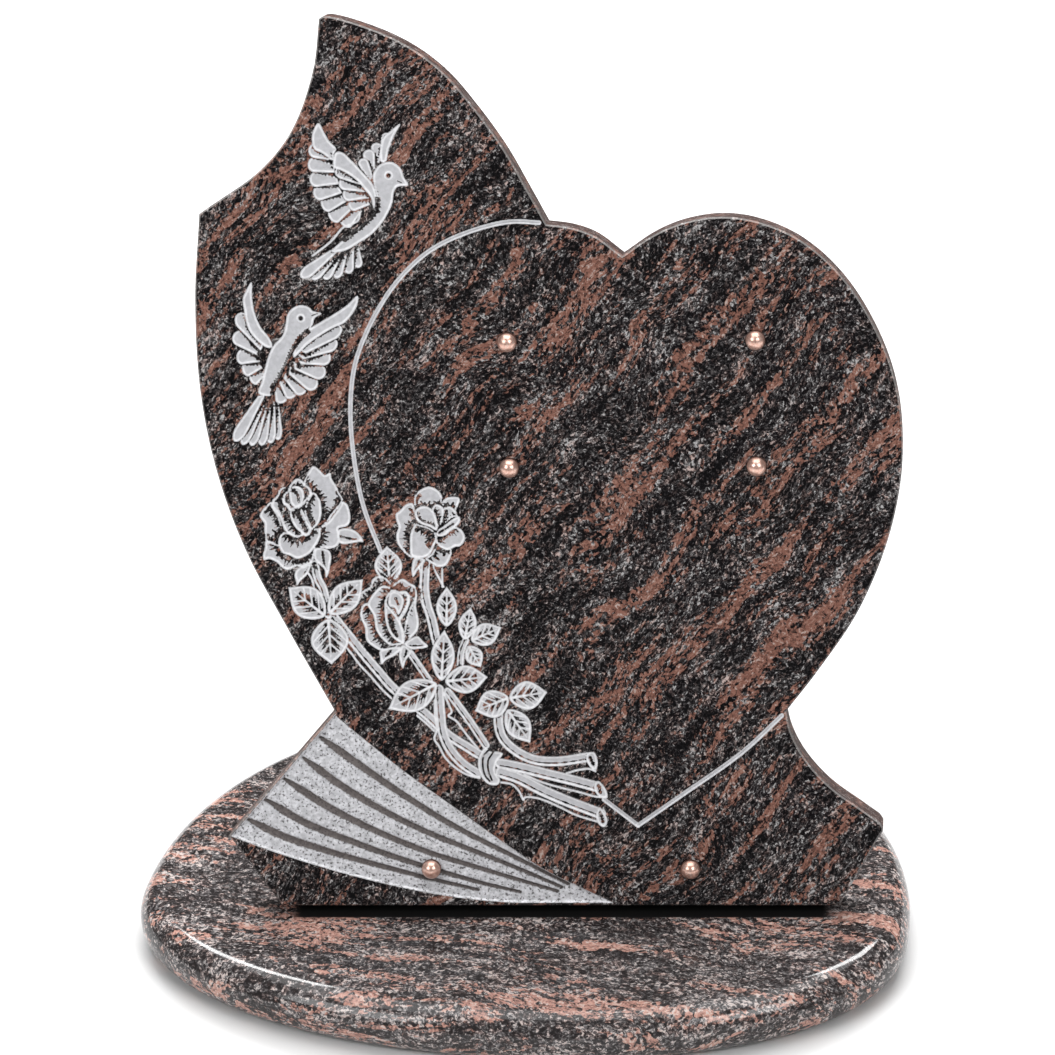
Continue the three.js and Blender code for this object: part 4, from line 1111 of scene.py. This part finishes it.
# The sides and the back: the same stone left matt, and toned a little browner than the face
slab_matt_granite, tree, shader = new_material("slab_matt_granite")
stone, grit = granite_colour(tree, slab_axes, light=0.5)
feed(shader, "Base Color", mix_colour(0.3, stone, screen(98, 70, 62)))
feed(shader, "Roughness", grit * 0.1 + 0.55)
shader.inputs["Specular IOR Level"].default_value = 0.05
slab.data.materials.append(slab_granite)
slab.data.materials.append(slab_matt_granite)
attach(slab, "root")
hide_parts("slab")

# The studs: six small domes of cast brass, plated the colour of copper, each on a short neck that is
# glued into the stone. Four would hold a name plate on the heart and two stand close to the foot.
STUD_DIAMETER = 9
STUD_HEIGHT = 5.8
STUD_NECK_WIDTH = 0.75 * STUD_DIAMETER
STUD_NECK_HEIGHT = 0.15 * STUD_HEIGHT
STUD_RIM = 0.06 * STUD_HEIGHT
STUD_SIDES = 48
STUD_DOME_STEPS = 12
STUD_RIM_STEPS = 4
name_plate_studs = {"left": -19, "right": 90.5, "low": 199, "high": 255}
foot_studs = {"left": -57.5, "right": 59, "height": 17}
stud_places = {
    "stud_heart_upper_left": (name_plate_studs["left"], name_plate_studs["high"]),
    "stud_heart_upper_right": (name_plate_studs["right"], name_plate_studs["high"]),
    "stud_heart_lower_left": (name_plate_studs["left"], name_plate_studs["low"]),
    "stud_heart_lower_right": (name_plate_studs["right"], name_plate_studs["low"]),
    "stud_foot_left": (foot_studs["left"], foot_studs["height"]),
    "stud_foot_right": (foot_studs["right"], foot_studs["height"]),
}

copper_plate, tree, shader = new_material("copper_plate")
place = add_node(tree, "ShaderNodeTexCoord", output=3)
wear = noise(place, 900.0, 2.0)
copper = mix_colour(wear.over(0.35, 0.7), screen(218, 172, 155), screen(234, 200, 186))
# The lower part of each dome is painted dark brown: painted shade for the dark ring where the dome meets
# the stone
rise = attribute(tree, "rise")
copper = mix_colour((0.56 - rise).over(0.0, 0.14), copper, screen(112, 74, 62))
feed(shader, "Base Color", copper)
feed(shader, "Roughness", wear * 0.1 + 0.26)
shader.inputs["Metallic"].default_value = 0.8


def stud_profile():
    """Radius and height from the neck's foot to the top of the dome."""
    radius = STUD_DIAMETER / 2
    shoulder = STUD_NECK_HEIGHT + STUD_RIM
    profile = [(STUD_NECK_WIDTH / 2, 0), (STUD_NECK_WIDTH / 2, STUD_NECK_HEIGHT)]
    for step in range(STUD_RIM_STEPS + 1):
        angle = math.pi / 2 * step / STUD_RIM_STEPS
        profile.append((radius - STUD_RIM * (1 - math.sin(angle)), shoulder - STUD_RIM * math.cos(angle)))
    for step in range(1, STUD_DOME_STEPS):
        angle = math.pi / 2 * step / STUD_DOME_STEPS
        profile.append((radius * math.cos(angle),
                        shoulder + (STUD_HEIGHT - shoulder) * math.sin(angle)))
    return profile


for name, (x, y) in stud_places.items():
    profile = stud_profile()
    sunk = FAN_DEPTH if name == "stud_foot_left" else 0
    level = SLAB_THICKNESS + SEAT_GAP - sunk
    points = []
    for radius, height in profile:
        for side in range(STUD_SIDES):
            angle = 2 * math.pi * side / STUD_SIDES
            points.append((x + radius * math.cos(angle), y + radius * math.sin(angle), level + height))
    points.append((x, y, level + STUD_HEIGHT))
    faces = [tuple(reversed(range(STUD_SIDES)))] + ring_faces(len(profile), STUD_SIDES)
    last = (len(profile) - 1) * STUD_SIDES
    for side in range(STUD_SIDES):
        faces.append((last + side, last + (side + 1) % STUD_SIDES, len(points) - 1))
    stud = mesh_piece("dome_" + name, on_slab(points), faces)
    rises = (np.array(points)[:, 2] - level) / STUD_HEIGHT
    stud.data.attributes.new("rise", "FLOAT", "POINT").data.foreach_set("value", rises)
    stud.data.set_sharp_from_angle(angle=math.radians(40))
    stud.data.materials.append(copper_plate)
    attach(stud, "root")
    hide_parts(name)

# The brackets: two bent strips of brushed steel behind the slab's foot. Each is glued to the slab's
# back and to the base, and keeps the slab from tipping back.
BRACKET_WIDTH = 22
BRACKET_FOOT = 30
BRACKET_UPRIGHT = 34
BRACKET_THICKNESS = 3
BEND_RADIUS = 3
BEND_STEPS = 6

brushed_steel, tree, shader = new_material("brushed_steel")
place = add_node(tree, "ShaderNodeTexCoord", output=3)
lines = add_node(tree, "ShaderNodeMapping", {"vector_type": "POINT"}, {
    "Vector": place, "Scale": (160, 9000, 9000)})
brushing = noise(lines, 1.0, 2.0)
steel = mix_colour(brushing, screen(150, 152, 155), screen(196, 198, 200))
feed(shader, "Base Color", steel)
feed(shader, "Roughness", brushing * 0.2 + 0.25)
shader.inputs["Metallic"].default_value = 1.0


def bracket_profile():
    """The strip's side view: back to the right and up, with a round bend inside its corner."""
    top = (BRACKET_UPRIGHT * lean_sine, BRACKET_UPRIGHT * lean_cosine)
    inner_top = (top[0] + BRACKET_THICKNESS * lean_cosine, top[1] - BRACKET_THICKNESS * lean_sine)
    corner = (BRACKET_THICKNESS * math.tan(SLAB_LEAN) + BRACKET_THICKNESS / lean_cosine, BRACKET_THICKNESS)
    bend = []
    for step in range(BEND_STEPS + 1):
        share = step / BEND_STEPS
        start = (corner[0] + BEND_RADIUS, corner[1])
        end = (corner[0] + BEND_RADIUS * lean_sine, corner[1] + BEND_RADIUS * lean_cosine)
        bend.append(tuple((1 - share) ** 2 * s + 2 * share * (1 - share) * c + share ** 2 * e
                          for s, c, e in zip(start, corner, end)))
    return [(0, 0), (BRACKET_FOOT, 0), (BRACKET_FOOT, BRACKET_THICKNESS), *bend, inner_top, top]


for name, x in (("bracket_left", foot_studs["left"]), ("bracket_right", foot_studs["right"])):
    profile = bracket_profile()
    behind = SEAT_GAP / lean_cosine
    points = []
    for side in (-1, 1):
        for back, up in profile:
            points.append(((SLAB_RIGHT_OF_CENTRE + x + side * BRACKET_WIDTH / 2) * MM,
                           (SLAB_BEHIND_CENTRE + behind + back) * MM,
                           (BASE_THICKNESS + SEAT_GAP + up) * MM))
    count = len(profile)
    faces = [tuple(reversed(range(count))), tuple(range(count, 2 * count))]
    for corner in range(count):
        after = (corner + 1) % count
        faces.append((corner, after, count + after, count + corner))
    bracket = mesh_piece("strip_" + name, points, faces)
    bracket.data.set_sharp_from_angle(angle=math.radians(30))
    bracket.data.materials.append(brushed_steel)
    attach(bracket, "root")
    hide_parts(name)

# The studio: a pale floor under soft white panels. A wide panel hangs above, a low long one stands
# behind, and two stand high at the front left and right, clear of what the slab's face mirrors.
FLOOR_HALF = 12
FLOOR_WHITENESS = 0.75
WORLD_GREY = 0.5
WORLD_STRENGTH = 0.32

floor_mesh = bpy.data.meshes.new("floor")
floor_mesh.from_pydata([(-FLOOR_HALF, -FLOOR_HALF, 0), (FLOOR_HALF, -FLOOR_HALF, 0),
                        (FLOOR_HALF, FLOOR_HALF, 0), (-FLOOR_HALF, FLOOR_HALF, 0)], [], [(0, 1, 2, 3)])
floor = add_object("floor", floor_mesh)
floor_paint, tree, shader = new_material("floor_paint")
shader.inputs["Base Color"].default_value = (FLOOR_WHITENESS, FLOOR_WHITENESS, FLOOR_WHITENESS, 1)
shader.inputs["Roughness"].default_value = 0.9
shader.inputs["Specular IOR Level"].default_value = 0.1
floor_mesh.materials.append(floor_paint)


def soft_panel(name, place, target, width, height, watts):
    """A white panel at a place, turned to a target, with its size in metres."""
    light = bpy.data.lights.new(name, "AREA")
    light.shape = "RECTANGLE"
    light.size = width
    light.size_y = height
    light.energy = watts
    panel = add_object(name, light)
    panel.location = place
    panel.rotation_euler = (Vector(target) - Vector(place)).to_track_quat("-Z", "Y").to_euler()


soft_panel("panel_top", (0, 0.3, 2.4), (0, 0, 0), 2.6, 2.2, 54)
soft_panel("panel_rear", (0, 1.72, 2.15), (0, 0, 0.05), 2.6, 0.5, 85)
soft_panel("panel_left", (-1.7, -1.9, 1.9), (0, 0, 0.2), 1.3, 1.3, 34)
soft_panel("panel_right", (1.6, -2.0, 2.0), (0, 0, 0.2), 1.3, 1.3, 34)
world = bpy.data.worlds.new("studio")
world.use_nodes = True
sky = world.node_tree.nodes["Background"]
sky.inputs["Color"].default_value = (WORLD_GREY, WORLD_GREY, WORLD_GREY, 1)
sky.inputs["Strength"].default_value = WORLD_STRENGTH
bpy.context.scene.world = world
bpy.context.scene.view_settings.view_transform = "Standard"
